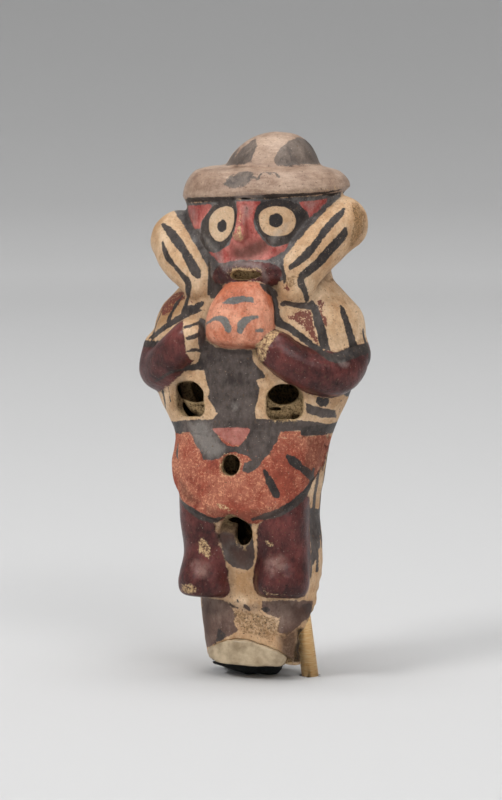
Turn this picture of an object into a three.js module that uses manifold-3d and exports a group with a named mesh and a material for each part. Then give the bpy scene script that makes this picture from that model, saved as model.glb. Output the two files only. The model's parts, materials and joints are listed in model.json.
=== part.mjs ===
// A figural whistle of slip-painted fired clay: a standing figure in a brimmed cap that holds a small head
// to its chest. Two globular chambers inside its chest are blown through ducts that rise from the broken foot
// and speak at two windows below the arms. The foot stands on a foam wedge, and a brass post goes up inside it.
// Millimetres. +Z is up, -Y is the figure's front, +X is the figure's own left. The origin is under the middle.
import * as THREE from "three";
import { mergeVertices } from "three/addons/utils/BufferGeometryUtils.js";
import Module from "manifold-3d";

const wasm = await Module();
wasm.setup();

// Clay thicknesses and clearances
const WALL = 2.0;
const CHAMBER_WALL = 1.5;
const SEAT_GAP = 0.3; // between a luted piece and the surface that it was pressed to
const RIM_GAP = 0.12; // where one flat rim stands on another

// The figure's main sizes: heights above the floor, and half widths and half depths at them
const FOOT_Z = 2.9;
const BELT_Z = 46.5;
const SHOULDER_Z = 66.5;
const NECK_Z = 74.6;
const HEAD_TOP_Z = 90.4;
const BRIM_HEIGHT = 5.8;
const FOOT_HALF = 9.8;
const BELT_HALF = 15.2;
const SHOULDER_HALF = 20.3;
const NECK_HALF = 13.9;
const HEAD_HALF = 14.9;
const FOOT_DEEP = 7.6;
const BELLY_DEEP = 11.6;
const HEAD_DEEP = 11.3;

// Stations of the outside, foot to head: half width, half depth, the section's middle, and how square it is
const STATIONS = [
  { z: FOOT_Z, width: FOOT_HALF, depth: FOOT_DEEP, x: 0.6, y: 0.5, square: 2.2 },
  { z: FOOT_Z + 6.1, width: FOOT_HALF + 0.9, depth: FOOT_DEEP + 0.4, x: 0.8, y: 0.4, square: 2.2 },
  { z: FOOT_Z + 12.1, width: FOOT_HALF + 1.6, depth: FOOT_DEEP + 0.9, x: 0.9, y: 0.4, square: 2.2 },
  { z: FOOT_Z + 20.1, width: BELT_HALF - 3.0, depth: FOOT_DEEP + 1.7, x: 0.3, y: 0.4, square: 2.2 },
  { z: BELT_Z - 15.5, width: BELT_HALF - 2.3, depth: BELLY_DEEP - 1.1, x: -0.9, y: 0.1, square: 2.1 },
  { z: BELT_Z - 6.5, width: BELT_HALF - 1.0, depth: BELLY_DEEP - 0.2, x: -0.9, y: -0.4, square: 2.1 },
  { z: BELT_Z, width: BELT_HALF, depth: BELLY_DEEP, x: -0.6, y: -0.4, square: 2.1 },
  { z: BELT_Z + 6.5, width: SHOULDER_HALF - 2.2, depth: BELLY_DEEP + 0.2, x: -0.4, y: -0.4, square: 2.1 },
  { z: SHOULDER_Z - 6.5, width: SHOULDER_HALF - 0.4, depth: BELLY_DEEP + 0.1, x: 0.3, y: -0.5, square: 2.1 },
  { z: SHOULDER_Z, width: SHOULDER_HALF, depth: BELLY_DEEP - 0.4, x: 0.8, y: -0.3, square: 2.0 },
  { z: SHOULDER_Z + 3.5, width: SHOULDER_HALF - 1.1, depth: BELLY_DEEP - 0.9, x: 0.9, y: -0.3, square: 1.9 },
  { z: NECK_Z - 2.2, width: NECK_HALF + 2.7, depth: HEAD_DEEP - 1.0, x: 0.9, y: -0.3, square: 1.9 },
  { z: NECK_Z + 0.6, width: NECK_HALF, depth: HEAD_DEEP - 1.1, x: 0.6, y: -0.3, square: 2.0 },
  { z: NECK_Z + 5.4, width: NECK_HALF - 0.2, depth: HEAD_DEEP - 0.4, x: 0.8, y: -0.3, square: 1.9 },
  { z: HEAD_TOP_Z - 4.2, width: HEAD_HALF - 0.4, depth: HEAD_DEEP, x: 1.2, y: -0.1, square: 1.9 },
  { z: HEAD_TOP_Z, width: HEAD_HALF, depth: HEAD_DEEP, x: 1.7, y: 0.2, square: 2.0 },
];

// The head was set on a little askew: above the neck it rises to the figure's left, and the cap levels it again
const HEAD_TILT = 0.062;
const TILT_FROM_Z = NECK_Z - 4.6;
const TILT_FULL_Z = NECK_Z + 5.4;
const TILT_GONE_Z = HEAD_TOP_Z + BRIM_HEIGHT;

// Cap: stations of the brim above the head's top, and of the crown above the brim's top
const BRIM = [
  { z: 0.0, width: HEAD_HALF + 0.7, depth: HEAD_DEEP + 1.1, x: 2.0, y: 0.3, square: 2.2 },
  { z: 1.0, width: HEAD_HALF + 0.9, depth: HEAD_DEEP + 1.3, x: 2.0, y: 0.3, square: 2.2 },
  { z: 3.0, width: HEAD_HALF + 0.2, depth: HEAD_DEEP + 0.9, x: 2.0, y: 0.4, square: 2.2 },
  { z: 4.9, width: HEAD_HALF - 1.4, depth: HEAD_DEEP - 0.1, x: 2.1, y: 0.5, square: 2.1 },
  { z: BRIM_HEIGHT, width: HEAD_HALF - 3.5, depth: HEAD_DEEP - 1.2, x: 2.3, y: 0.6, square: 2.0 },
];
const CROWN = [
  { z: 0.0, width: 8.9, depth: 8.6, x: 3.1, y: 0.8, square: 2.0 },
  { z: 2.0, width: 7.9, depth: 7.8, x: 3.3, y: 0.8, square: 2.0 },
  { z: 4.1, width: 6.2, depth: 6.1, x: 3.6, y: 0.8, square: 2.0 },
  { z: 5.6, width: 3.9, depth: 3.8, x: 3.7, y: 0.8, square: 2.0 },
  { z: 6.4, width: 1.2, depth: 1.2, x: 3.8, y: 0.8, square: 2.0 },
];

// Small head held upside down on the chest, by height above the floor
const HELD_Z = 63.1;
const HELD_HALF = 6.4;
const HELD_Y = 0.1 - BELLY_DEEP;
const HELD_HEAD = [
  { z: HELD_Z, width: HELD_HALF - 2.4, depth: 2.6, x: 0.3, y: HELD_Y + 0.1, square: 2.3 },
  { z: HELD_Z + 1.3, width: HELD_HALF - 0.4, depth: 3.5, x: 0.4, y: HELD_Y, square: 2.4 },
  { z: HELD_Z + 4.1, width: HELD_HALF, depth: 4.2, x: 0.6, y: HELD_Y, square: 2.4 },
  { z: HELD_Z + 7.1, width: HELD_HALF - 0.3, depth: 4.1, x: 0.9, y: HELD_Y + 0.1, square: 2.3 },
  { z: HELD_Z + 9.3, width: HELD_HALF - 1.2, depth: 3.6, x: 1.2, y: HELD_Y + 0.2, square: 2.2 },
  { z: HELD_Z + 11.1, width: HELD_HALF - 2.3, depth: 3.0, x: 1.4, y: HELD_Y + 0.3, square: 2.2 },
  { z: HELD_Z + 12.3, width: HELD_HALF - 3.2, depth: 2.4, x: 1.6, y: HELD_Y + 0.5, square: 2.2 },
];

// Windows, holes and the mouth
const WINDOW = { width: 6.8, height: 6.6, z: BELT_Z + 6.7, corner: 1.7, turn: 0.4 };
const WINDOW_X = { left: 9.2, right: -10.0 };
const BELLY_HOLE = { radius: 1.9, x: -1.0, z: BELT_Z - 5.2 };
const CROTCH_HOLE = { radius: 1.9, x: 0.3, z: BELT_Z - 21.2, rise: 0.35 };
const MOUTH = { width: 6.0, height: 1.9, x: 2.0, z: NECK_Z + 1.9, floor: 1.4 - HEAD_DEEP };
const MUZZLE = { width: 7.4, depth: 3.4, height: 2.8, x: 1.7, y: 2.1 - HEAD_DEEP, z: NECK_Z + 2.3 };

// Chambers and ducts inside
const CHAMBER = { width: 7.6, depth: 12.0, height: 9.0, x: 7.0, z: BELT_Z + 10.1 };
const SEPTUM_GAP = 0.4; // between the two chambers
const BLOCK = { low: BELT_Z - 13.3, high: BELT_Z - 7.5 };
const DUCT = { x: 4.0, y: -3.5, width: 5.2, depth: 3.2, slotWidth: 3.6, slotDepth: 1.3 };

// Mount: a brass post inside the foot, and a wedge of black foam under it
const POST = { radius: 1.59, x: 10.2, y: 1.8, lean: -0.14, chamfer: 0.35 };
const WEDGE = { left: -8.4, right: 5.2, back: 7.4, front: -1.2, flat: 5.4, tip: 0.5, turn: Math.PI / 10 };

const RING_POINTS = 32;
const SIDES = { left: 1, right: -1 };

// A smooth value through the stations, by height, held flat past both ends
function along(stations, key, z) {
  const last = stations.length - 1;
  if (z <= stations[0].z) return stations[0][key];
  if (z >= stations[last].z) return stations[last][key];
  const i = stations.findIndex((s) => s.z > z) - 1;
  const slope = (k) => {
    const a = stations[Math.max(k - 1, 0)];
    const b = stations[Math.min(k + 1, last)];
    return (b[key] - a[key]) / (b.z - a.z);
  };
  const low = stations[i];
  const high = stations[i + 1];
  const span = high.z - low.z;
  const t = (z - low.z) / span;
  const t2 = t * t;
  const t3 = t2 * t;
  return (
    (2 * t3 - 3 * t2 + 1) * low[key] +
    (t3 - 2 * t2 + t) * span * slope(i) +
    (3 * t2 - 2 * t3) * high[key] +
    (t3 - t2) * span * slope(i + 1)
  );
}

// The skew of the head, as a height to add at one point
function headRise(x, z) {
  const grows = THREE.MathUtils.smoothstep(z, TILT_FROM_Z, TILT_FULL_Z);
  const fades = THREE.MathUtils.smoothstep(z, HEAD_TOP_Z, TILT_GONE_Z);
  return HEAD_TILT * (grows - fades) * x;
}

// One squared-off oval ring at height z of a set of stations, grown outwards by grow
function ovalRing(stations, z, grow) {
  const width = along(stations, "width", z) + grow;
  const depth = along(stations, "depth", z) + grow;
  const power = 2 / along(stations, "square", z);
  const midX = along(stations, "x", z);
  const midY = along(stations, "y", z);
  const ring = [];
  for (let i = 0; i < RING_POINTS; i++) {
    const angle = (2 * Math.PI * i) / RING_POINTS;
    const c = Math.cos(angle);
    const s = Math.sin(angle);
    const x = midX + width * Math.sign(c) * Math.abs(c) ** power;
    const y = midY + depth * Math.sign(s) * Math.abs(s) ** power;
    ring.push(new THREE.Vector3(x, y, z));
  }
  return ring;
}

// A closed skin through rings of equally many points, with a fan over each end
function skin(rings) {
  const count = rings[0].length;
  const points = rings.flat();
  const index = [];
  for (let r = 0; r < rings.length - 1; r++) {
    for (let i = 0; i < count; i++) {
      const a = r * count + i;
      const b = r * count + ((i + 1) % count);
      index.push(a, b, b + count, a, b + count, a + count);
    }
  }
  const middle = (ring) => ring.reduce((sum, p) => sum.add(p), new THREE.Vector3()).divideScalar(count);
  const low = points.push(middle(rings[0])) - 1;
  const high = points.push(middle(rings.at(-1))) - 1;
  const top = (rings.length - 1) * count;
  for (let i = 0; i < count; i++) {
    const j = (i + 1) % count;
    index.push(low, j, i, high, top + i, top + j);
  }
  const geometry = new THREE.BufferGeometry().setFromPoints(points);
  geometry.setIndex(index);
  return geometry;
}

// A manifold solid of a closed three.js geometry
function solid(geometry) {
  const bare = geometry.clone();
  bare.deleteAttribute("normal");
  bare.deleteAttribute("uv");
  const merged = mergeVertices(bare, 1e-4);
  return new wasm.Manifold(
    new wasm.Mesh({
      numProp: 3,
      vertProperties: Float32Array.from(merged.attributes.position.array),
      triVerts: Uint32Array.from(merged.index.array),
    }),
  );
}

function geometryOf(manifold) {
  const mesh = manifold.getMesh();
  const geometry = new THREE.BufferGeometry();
  geometry.setAttribute("position", new THREE.BufferAttribute(Float32Array.from(mesh.vertProperties), 3));
  geometry.setIndex(new THREE.BufferAttribute(Uint32Array.from(mesh.triVerts), 1));
  const faceted = geometry.toNonIndexed();
  faceted.computeVertexNormals();
  return faceted;
}

// Every point moved by the skew of the head
function askew(geometry) {
  const position = geometry.attributes.position;
  for (let i = 0; i < position.count; i++) {
    const z = position.getZ(i);
    position.setZ(i, z + headRise(position.getX(i), z));
  }
  return geometry;
}

// A piece lofted through stations, from one height to another, grown by grow
function oval(stations, low, high, steps, grow = 0) {
  const rings = [];
  for (let i = 0; i <= steps; i++) {
    rings.push(ovalRing(stations, low + ((high - low) * i) / steps, grow));
  }
  return solid(askew(skin(rings)));
}

// The stations of the cap, lifted to where it sits
function lifted(stations, base) {
  return stations.map((s) => ({ ...s, z: s.z + base }));
}

// A limb: a tapered roll of clay with round ends, along a smooth line. Each stop gives its place and half
// thickness, and flat is the roll's depth over its width.
const BACKWARDS = new THREE.Vector3(0, 1, 0);
function roll(stops, { grow = 0, flat = 1, steps = 14, sides = 14, across = BACKWARDS } = {}) {
  const line = new THREE.CatmullRomCurve3(stops.map((s) => new THREE.Vector3(...s.at)));
  const thick = new THREE.SplineCurve(stops.map((s, i) => new THREE.Vector2(i / (stops.length - 1), s.half)));
  const rings = [];
  const ringAt = (t, push, share) => {
    const forward = line.getTangent(t).normalize();
    const side = new THREE.Vector3().crossVectors(forward, across).normalize();
    const out = new THREE.Vector3().crossVectors(side, forward).normalize();
    const half = thick.getPoint(t).y + grow;
    const centre = line.getPoint(t).addScaledVector(forward, push * half);
    const ring = [];
    for (let i = 0; i < sides; i++) {
      const angle = (2 * Math.PI * i) / sides;
      const reach = half * share;
      ring.push(
        centre
          .clone()
          .addScaledVector(side, reach * Math.cos(angle))
          .addScaledVector(out, -reach * flat * Math.sin(angle)),
      );
    }
    rings.push(ring);
  };
  const ends = [0.15, 0.4, 0.65, 0.88].map((share) => Math.acos(share));
  ends.forEach((a) => ringAt(0, -Math.sin(a), Math.cos(a)));
  for (let i = 0; i <= steps; i++) ringAt(i / steps, 0, 1);
  ends.reverse().forEach((a) => ringAt(1, Math.sin(a), Math.cos(a)));
  return solid(askew(skin(rings)));
}

// A tool: an outline in X and Z pushed along -Y from depth near to depth far, turned about Z and placed
function punch(shape, { x = 0, z = 0, near, far, turn = 0, rise = 0 }) {
  const settings = { depth: far - near, bevelEnabled: false, curveSegments: 8 };
  const geometry = new THREE.ExtrudeGeometry(shape, settings);
  geometry.translate(0, 0, near);
  geometry.rotateX(Math.PI / 2);
  geometry.rotateX(-rise);
  geometry.rotateZ(turn);
  geometry.translate(x, 0, z);
  return solid(askew(geometry));
}

// A window's outline: flat at the sill, with round corners, and arched over the top
function archShape(width, height, corner) {
  const half = width / 2;
  const sill = -height / 2;
  const spring = height / 2 - half * 0.8;
  const shape = new THREE.Shape();
  shape.moveTo(corner - half, sill);
  shape.lineTo(half - corner, sill);
  shape.absarc(half - corner, sill + corner, corner, -Math.PI / 2, 0);
  shape.absellipse(0, spring, half, half * 0.8, 0, Math.PI);
  shape.absarc(corner - half, sill + corner, corner, Math.PI, 1.5 * Math.PI);
  return shape;
}

function roundShape(radiusX, radiusZ) {
  return new THREE.Shape().absellipse(0, 0, radiusX, radiusZ, 0, 2 * Math.PI);
}

// The clay figure's outside and its hollow
const outside = (grow, low = FOOT_Z, high = HEAD_TOP_Z) => {
  const steps = Math.max(4, Math.round((high - low) / 3));
  return oval(STATIONS, low, high, steps, grow);
};
const hollow = (shrink, low, high) => oval(STATIONS, low, high, Math.round((high - low) / 5), -WALL - shrink);

// Tools for the openings
const WINDOW_REACH = 12;
const windowPlace = (side) => ({
  x: (side > 0 ? WINDOW_X.left : WINDOW_X.right) - side * WINDOW_REACH * Math.sin(WINDOW.turn),
  near: 0,
  far: 2 * WINDOW_REACH,
  turn: side * WINDOW.turn,
});
const windowShape = archShape(WINDOW.width, WINDOW.height, WINDOW.corner);
const windowTool = (side) => punch(windowShape, { ...windowPlace(side), z: WINDOW.z });
// The chamber's own mouth is the upper part of the window: its lower lip splits the wind
const lipHeight = WINDOW.z - WINDOW.height / 2 + 2.6;
const mouthHeight = WINDOW.z + WINDOW.height / 2 - lipHeight;
const chamberMouthShape = roundShape(WINDOW.width / 2 - 0.4, mouthHeight / 2);
const mouthMiddle = lipHeight + mouthHeight / 2;
const chamberMouth = (side) => punch(chamberMouthShape, { ...windowPlace(side), z: mouthMiddle });
const bellyShape = roundShape(BELLY_HOLE.radius, BELLY_HOLE.radius * 1.06);
const bellyTool = () => punch(bellyShape, { ...BELLY_HOLE, near: 5, far: 20 });
const crotchShape = roundShape(CROTCH_HOLE.radius, CROTCH_HOLE.radius * 1.15);
const crotchTool = () => punch(crotchShape, { ...CROTCH_HOLE, near: 4, far: 20 });
// The mouth's slot is blind: it stops in the thick of the muzzle
const mouthShape = roundShape(MOUTH.width / 2, MOUTH.height / 2);
const mouthTool = () => punch(mouthShape, { ...MOUTH, near: -MOUTH.floor, far: 20 });

// The wall that broke away on the figure's left side of the foot: its edge, and the turn of the cut about Z
const BREAK_TURN = Math.PI / 10;
const BREAK_EDGE = [
  [7.8, -2],
  [7.8, 6.2],
  [8.2, 8.1],
  [8.9, 9.5],
  [10.0, 12.4],
  [10.8, 14.7],
  [11.2, 16.4],
  [12.4, 18.6],
  [18, 18.6],
  [18, -2],
];
// The corner that is worn off the foot on the figure's right
const WORN_EDGE = [
  [-12, 2],
  [-7.2, 2],
  [-7.2, 2.9],
  [-8.7, 3.7],
  [-9.6, 5.3],
  [-12, 6.3],
];
function edgeTool(corners) {
  const edge = new THREE.Shape(corners.map(([x, z]) => new THREE.Vector2(x, z)));
  return punch(edge, { near: -20, far: 20, turn: BREAK_TURN });
}
const breakTool = () => edgeTool(BREAK_EDGE);
const wornTool = () => edgeTool(WORN_EDGE);

// The bevel that was chipped off the front of the foot, its slanted face moved outwards by grow
const CHIP = { z: FOOT_Z + 5.9, slope: 0.96, left: -14, right: 8.6, thick: 1.6, fillRight: 7.6 };
function chipTool(grow, right = CHIP.right) {
  const block = new THREE.BoxGeometry(right - CHIP.left, 40, 30);
  block.translate((right + CHIP.left) / 2, 10, -15 - grow);
  block.rotateX(-CHIP.slope);
  const front = along(STATIONS, "y", CHIP.z) - along(STATIONS, "depth", CHIP.z);
  block.translate(0, front, CHIP.z);
  return solid(block);
}

function bodyShell() {
  let shell = outside(0, FOOT_Z, NECK_Z).subtract(hollow(0, FOOT_Z - 1, NECK_Z + 1));
  const holes = [windowTool(1), windowTool(-1), bellyTool(), crotchTool()];
  const losses = [breakTool(), wornTool(), chipTool(0), post(SEAT_GAP)];
  [...holes, ...losses].forEach((tool) => {
    shell = shell.subtract(tool);
  });
  return shell;
}

const muzzle = (grow) => {
  const form = new THREE.SphereGeometry(1, 18, 10);
  form.scale(MUZZLE.width + grow, MUZZLE.depth + grow, MUZZLE.height + grow);
  form.translate(MUZZLE.x, MUZZLE.y, MUZZLE.z);
  return solid(askew(form));
};

function headShell() {
  const low = NECK_Z + RIM_GAP;
  const inner = hollow(0, NECK_Z - 1, HEAD_TOP_Z - WALL);
  const mound = muzzle(0).intersect(outside(8, low, HEAD_TOP_Z));
  return outside(0, low, HEAD_TOP_Z).subtract(inner).add(mound).subtract(mouthTool());
}

function hatBrim(grow = 0) {
  const base = HEAD_TOP_Z + RIM_GAP;
  return oval(lifted(BRIM, base), base - grow, base + BRIM_HEIGHT + grow, 7, grow);
}

function hatCrown() {
  const base = HEAD_TOP_Z + BRIM_HEIGHT + 2 * RIM_GAP;
  return oval(lifted(CROWN, base), base, base + CROWN.at(-1).z, 7);
}

// The rolls at the sides of the head, from the bulge at the ear in to the neck
const LOBE_STOPS = {
  left: [
    { at: [HEAD_HALF + 1.5, -0.8, HEAD_TOP_Z - 5.8], half: 5.5 },
    { at: [HEAD_HALF - 1.1, -4.8, HEAD_TOP_Z - 9.0], half: 5.0 },
    { at: [HEAD_HALF - 3.4, -7.2, NECK_Z + 3.0], half: 4.1 },
    { at: [HEAD_HALF - 4.6, -8.0, NECK_Z - 0.8], half: 3.2 },
  ],
  right: [
    { at: [0.2 - HEAD_HALF, -0.8, HEAD_TOP_Z - 7.0], half: 5.4 },
    { at: [2.8 - HEAD_HALF, -5.0, HEAD_TOP_Z - 10.2], half: 5.0 },
    { at: [5.0 - HEAD_HALF, -7.2, NECK_Z + 2.4], half: 4.0 },
    { at: [6.1 - HEAD_HALF, -8.0, NECK_Z], half: 3.0 },
  ],
};
const lobe = (name, grow = 0) => roll(LOBE_STOPS[name], { grow, flat: 0.92, steps: 10 });

// Arms: shoulder, elbow, and forearm in to the hand on the small head
const ARM_STOPS = {
  left: [
    { at: [SHOULDER_HALF - 2.3, -0.6, SHOULDER_Z - 5.1], half: 4.2 },
    { at: [SHOULDER_HALF - 3.3, -4.6, SHOULDER_Z - 7.9], half: 4.5 },
    { at: [SHOULDER_HALF - 6.9, -8.8, SHOULDER_Z - 7.5], half: 4.0 },
    { at: [SHOULDER_HALF - 10.5, -11.2, SHOULDER_Z - 5.4], half: 3.6 },
    { at: [SHOULDER_HALF - 12.7, -11.9, SHOULDER_Z - 3.6], half: 3.5 },
  ],
  right: [
    { at: [2.3 - SHOULDER_HALF, -0.6, SHOULDER_Z - 5.2], half: 4.1 },
    { at: [3.1 - SHOULDER_HALF, -4.2, SHOULDER_Z - 8.2], half: 4.3 },
    { at: [6.0 - SHOULDER_HALF, -8.2, SHOULDER_Z - 6.6], half: 3.9 },
    { at: [9.0 - SHOULDER_HALF, -10.4, SHOULDER_Z - 3.8], half: 3.6 },
    { at: [10.8 - SHOULDER_HALF, -11.0, SHOULDER_Z - 1.6], half: 3.3 },
  ],
};
const arm = (name, grow = 0) =>
  roll(ARM_STOPS[name], { grow, steps: 14, across: new THREE.Vector3(0, 0.3, 1) });

// Legs, each one roll with a flat-soled foot that hangs over the stump
const HIP_Z = BELT_Z - 10.5;
const SOLE_Z = { left: 16.6, right: 15.9 };
const LEG_STOPS = {
  left: [
    { at: [6.6, -4.4, HIP_Z], half: 4.6 },
    { at: [6.9, -5.5, HIP_Z - 5.0], half: 5.1 },
    { at: [7.2, -6.0, HIP_Z - 11.5], half: 4.8 },
    { at: [7.4, -7.2, SOLE_Z.left + 2.8], half: 5.0 },
  ],
  right: [
    { at: [-7.6, -4.2, HIP_Z], half: 4.6 },
    { at: [-7.7, -5.3, HIP_Z - 5.0], half: 5.2 },
    { at: [-7.4, -5.8, HIP_Z - 11.5], half: 4.8 },
    { at: [-7.7, -7.0, SOLE_Z.right + 2.6], half: 5.2 },
  ],
};
function leg(name, grow = 0) {
  const sole = box(60, 60, 20, 0, 0, SOLE_Z[name] - grow - 10);
  return roll(LEG_STOPS[name], { grow, steps: 8 }).subtract(sole);
}

const heldHeadForm = (grow) => oval(HELD_HEAD, HELD_Z - grow, HELD_HEAD.at(-1).z + grow, 10, grow);

const NOSE = [
  { at: [1.1, 0.2 - HEAD_DEEP, HEAD_TOP_Z - 1.6], half: 0.7 },
  { at: [0.9, -0.6 - HEAD_DEEP, HEAD_TOP_Z - 4.4], half: 0.9 },
  { at: [0.7, -1.0 - HEAD_DEEP, HEAD_TOP_Z - 6.4], half: 1.4 },
];

// The loincloth: a sheet over the belly and the thighs, its lower edge a deep curve
const APRON = {
  low: BELT_Z - 16.0,
  high: BELT_Z + 0.1,
  corner: BELT_Z - 7.5,
  left: BELT_HALF - 1.4,
  right: BELT_HALF - 0.2,
  middle: 0.6,
  thick: 0.9,
  overThigh: 0.5,
};
function apronOutline(grow) {
  const { low, high, left, right, corner, middle } = APRON;
  const edge = new THREE.Shape();
  edge.moveTo(middle - right - grow, high + grow);
  edge.lineTo(middle - right - grow, corner);
  edge.absellipse(middle, corner, right + grow, corner - low + grow, Math.PI, 1.5 * Math.PI);
  edge.absellipse(middle, high, left + grow, high - low + grow, 1.5 * Math.PI, 2 * Math.PI);
  edge.lineTo(middle + left + grow, high + grow);
  return punch(edge, { near: 0.6, far: 20 });
}
function apronForm() {
  let sheet = oval(STATIONS, APRON.low - 2, APRON.high + 2, 6, APRON.thick);
  for (const name of Object.keys(SIDES)) sheet = sheet.add(leg(name, APRON.overThigh));
  return sheet.intersect(apronOutline(0));
}

// The outside of a chamber: a ball of clay pressed flat against the walls and against its neighbour
function chamberForm(side, grow = 0) {
  const form = new THREE.SphereGeometry(1, 20, 14);
  form.scale(CHAMBER.width + grow, CHAMBER.depth + grow, CHAMBER.height + grow);
  form.translate(side * CHAMBER.x, 0, CHAMBER.z);
  const half = new THREE.BoxGeometry(30, 40, 40);
  half.translate(side * (15 + SEPTUM_GAP / 2 - grow), 0, CHAMBER.z);
  return solid(form).intersect(hollow(SEAT_GAP - grow, 44, 70)).intersect(solid(half));
}

function chamber(side) {
  const core = new THREE.SphereGeometry(1, 16, 12);
  core.scale(CHAMBER.width - 2.1, CHAMBER.depth - 4.2, CHAMBER.height - CHAMBER_WALL);
  core.translate(side * CHAMBER.x, 0, CHAMBER.z);
  return chamberForm(side)
    .subtract(solid(core))
    .subtract(chamberMouth(side))
    .subtract(ductSeat(side));
}

const DUCT_LINE = (side) => [
  new THREE.Vector3(side * DUCT.x, DUCT.y, BLOCK.high + SEAT_GAP),
  new THREE.Vector3(side * 5.0, -5.0, BELT_Z - 1.5),
  new THREE.Vector3(side * 6.6, -7.0, lipHeight - 1.4),
];

function box(width, depth, height, x, y, z) {
  const geometry = new THREE.BoxGeometry(width, depth, height);
  geometry.translate(x, y, z);
  return solid(geometry);
}

// A flat duct along a line, or its slot. Its outer side can be carried further out.
function ductForm(side, width, depth, stretch, outer = 0) {
  const line = DUCT_LINE(side);
  const rise = line.at(-1).clone().sub(line.at(-2)).normalize();
  const drop = line[1].clone().sub(line[0]).normalize();
  line[0].addScaledVector(drop, -stretch);
  line.at(-1).addScaledVector(rise, stretch);
  const curve = new THREE.CatmullRomCurve3(line);
  const rings = [];
  for (let i = 0; i <= 6; i++) {
    const centre = curve.getPoint(i / 6);
    const half = new THREE.Vector3(1, side * 0.4, 0).normalize().multiplyScalar(width / 2);
    const inward = new THREE.Vector3(-side * 0.4, 1, 0).normalize();
    const out = inward.clone().multiplyScalar(depth / 2);
    const front = inward.clone().multiplyScalar(depth / 2 + outer);
    rings.push([
      centre.clone().sub(half).sub(front),
      centre.clone().add(half).sub(front),
      centre.clone().add(half).add(out),
      centre.clone().sub(half).add(out),
    ]);
  }
  return solid(skin(rings));
}
const ductSeat = (side) =>
  ductForm(side, DUCT.width + 2 * SEAT_GAP, DUCT.depth + 2 * SEAT_GAP, 0.5 + SEAT_GAP, DUCT.width);

function windBlock() {
  const cavity = hollow(SEAT_GAP, BLOCK.low - 4, BLOCK.high + 4);
  const slab = box(60, 60, BLOCK.high - BLOCK.low, 0, 0, (BLOCK.high + BLOCK.low) / 2);
  let block = cavity.intersect(slab);
  [1, -1].forEach((side) => {
    const slot = box(DUCT.slotWidth, DUCT.slotDepth, 20, side * DUCT.x, DUCT.y, (BLOCK.high + BLOCK.low) / 2);
    block = block.subtract(slot);
  });
  return block;
}

function duct(side) {
  const trim = box(60, 60, 20, 0, 0, BLOCK.high + RIM_GAP - 10);
  return ductForm(side, DUCT.width, DUCT.depth, 0.5)
    .intersect(hollow(SEAT_GAP, 34, 62))
    .subtract(ductForm(side, DUCT.slotWidth, DUCT.slotDepth, 4))
    .subtract(trim);
}

function post(grow = 0) {
  const top = BLOCK.low - SEAT_GAP;
  const length = top + 10;
  const { chamfer } = POST;
  const radius = POST.radius + grow;
  const profile = [
    new THREE.Vector2(0, -10),
    new THREE.Vector2(radius, -10),
    new THREE.Vector2(radius, length - 10 - chamfer),
    new THREE.Vector2(radius - chamfer, length - 10),
    new THREE.Vector2(0, length - 10),
  ];
  const rod = new THREE.LatheGeometry(profile, 28);
  rod.rotateX(Math.PI / 2);
  const tilt = new THREE.Matrix4().makeRotationY(Math.atan(POST.lean));
  rod.applyMatrix4(tilt);
  rod.translate(POST.x, POST.y, 0);
  return solid(rod).subtract(box(60, 60, 40, POST.x, POST.y, -20));
}

function foamWedge() {
  const side = new THREE.Shape();
  const { left, right, flat, tip } = WEDGE;
  const top = FOOT_Z - SEAT_GAP;
  side.moveTo(right - 1.2 - flat, 0);
  side.lineTo(right - 1.2, 0);
  side.lineTo(right, 0.9);
  side.lineTo(right - 0.9, top);
  side.lineTo(left, top);
  side.lineTo(left, top - tip);
  return punch(side, { near: -WEDGE.back, far: -WEDGE.front, turn: WEDGE.turn });
}

function footFill() {
  const slab = chipTool(SEAT_GAP, CHIP.fillRight).subtract(chipTool(SEAT_GAP + CHIP.thick));
  return outside(0.35, FOOT_Z, 16).intersect(slab).subtract(wornTool());
}

const clay = (color, roughness = 0.75) => new THREE.MeshStandardMaterial({ color, roughness, metalness: 0 });
const cream = clay(0xcdb18c);
const maroon = clay(0x5a2a2e, 0.5);
const orange = clay(0xb5553a);
const buff = clay(0x9c8574);
const bare = clay(0xa98f6e, 0.9);
const brass = new THREE.MeshStandardMaterial({ color: 0xb08d57, roughness: 0.4, metalness: 0.9 });
const foam = clay(0x1d2022, 0.95);
const wax = clay(0xa39c86, 0.45);

const whistle = new THREE.Group();
function place(name, form, material) {
  const mesh = new THREE.Mesh(geometryOf(form), material);
  mesh.name = name;
  whistle.add(mesh);
}

const figure = (grow) => outside(grow);
place("body_shell", bodyShell(), cream);
place("head_shell", headShell(), cream);
place("hat_brim", hatBrim(), buff);
place("hat_crown", hatCrown(), buff);
const seat = figure(SEAT_GAP);
const muzzleSeat = muzzle(SEAT_GAP);
const brimSeat = hatBrim(SEAT_GAP);
place("nose", roll(NOSE, { steps: 6, sides: 10 }).subtract(seat).subtract(muzzleSeat), cream);
const heldSeat = heldHeadForm(SEAT_GAP);
place("held_head", heldHeadForm(0).subtract(seat).subtract(muzzleSeat), orange);
for (const name of Object.keys(SIDES)) {
  place(`${name}_headcloth_lobe`, lobe(name).subtract(seat).subtract(brimSeat).subtract(muzzleSeat), cream);
  place(`${name}_arm`, arm(name).subtract(seat).subtract(heldSeat).subtract(lobe(name, SEAT_GAP)), maroon);
}
const holes = bellyTool().add(crotchTool());
place("apron", apronForm().subtract(seat).subtract(holes), orange);
for (const name of Object.keys(SIDES)) {
  const thigh = leg(name).subtract(seat).subtract(apronOutline(SEAT_GAP));
  place(`${name}_leg`, thigh.subtract(holes), maroon);
  place(`${name}_resonator`, chamber(SIDES[name]), bare);
  place(`${name}_windway`, duct(SIDES[name]), bare);
}
place("wind_block", windBlock(), bare);
place("foot_fill", footFill(), wax);
place("display_post", post(), brass);
place("foam_wedge", foamWedge(), foam);

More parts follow.
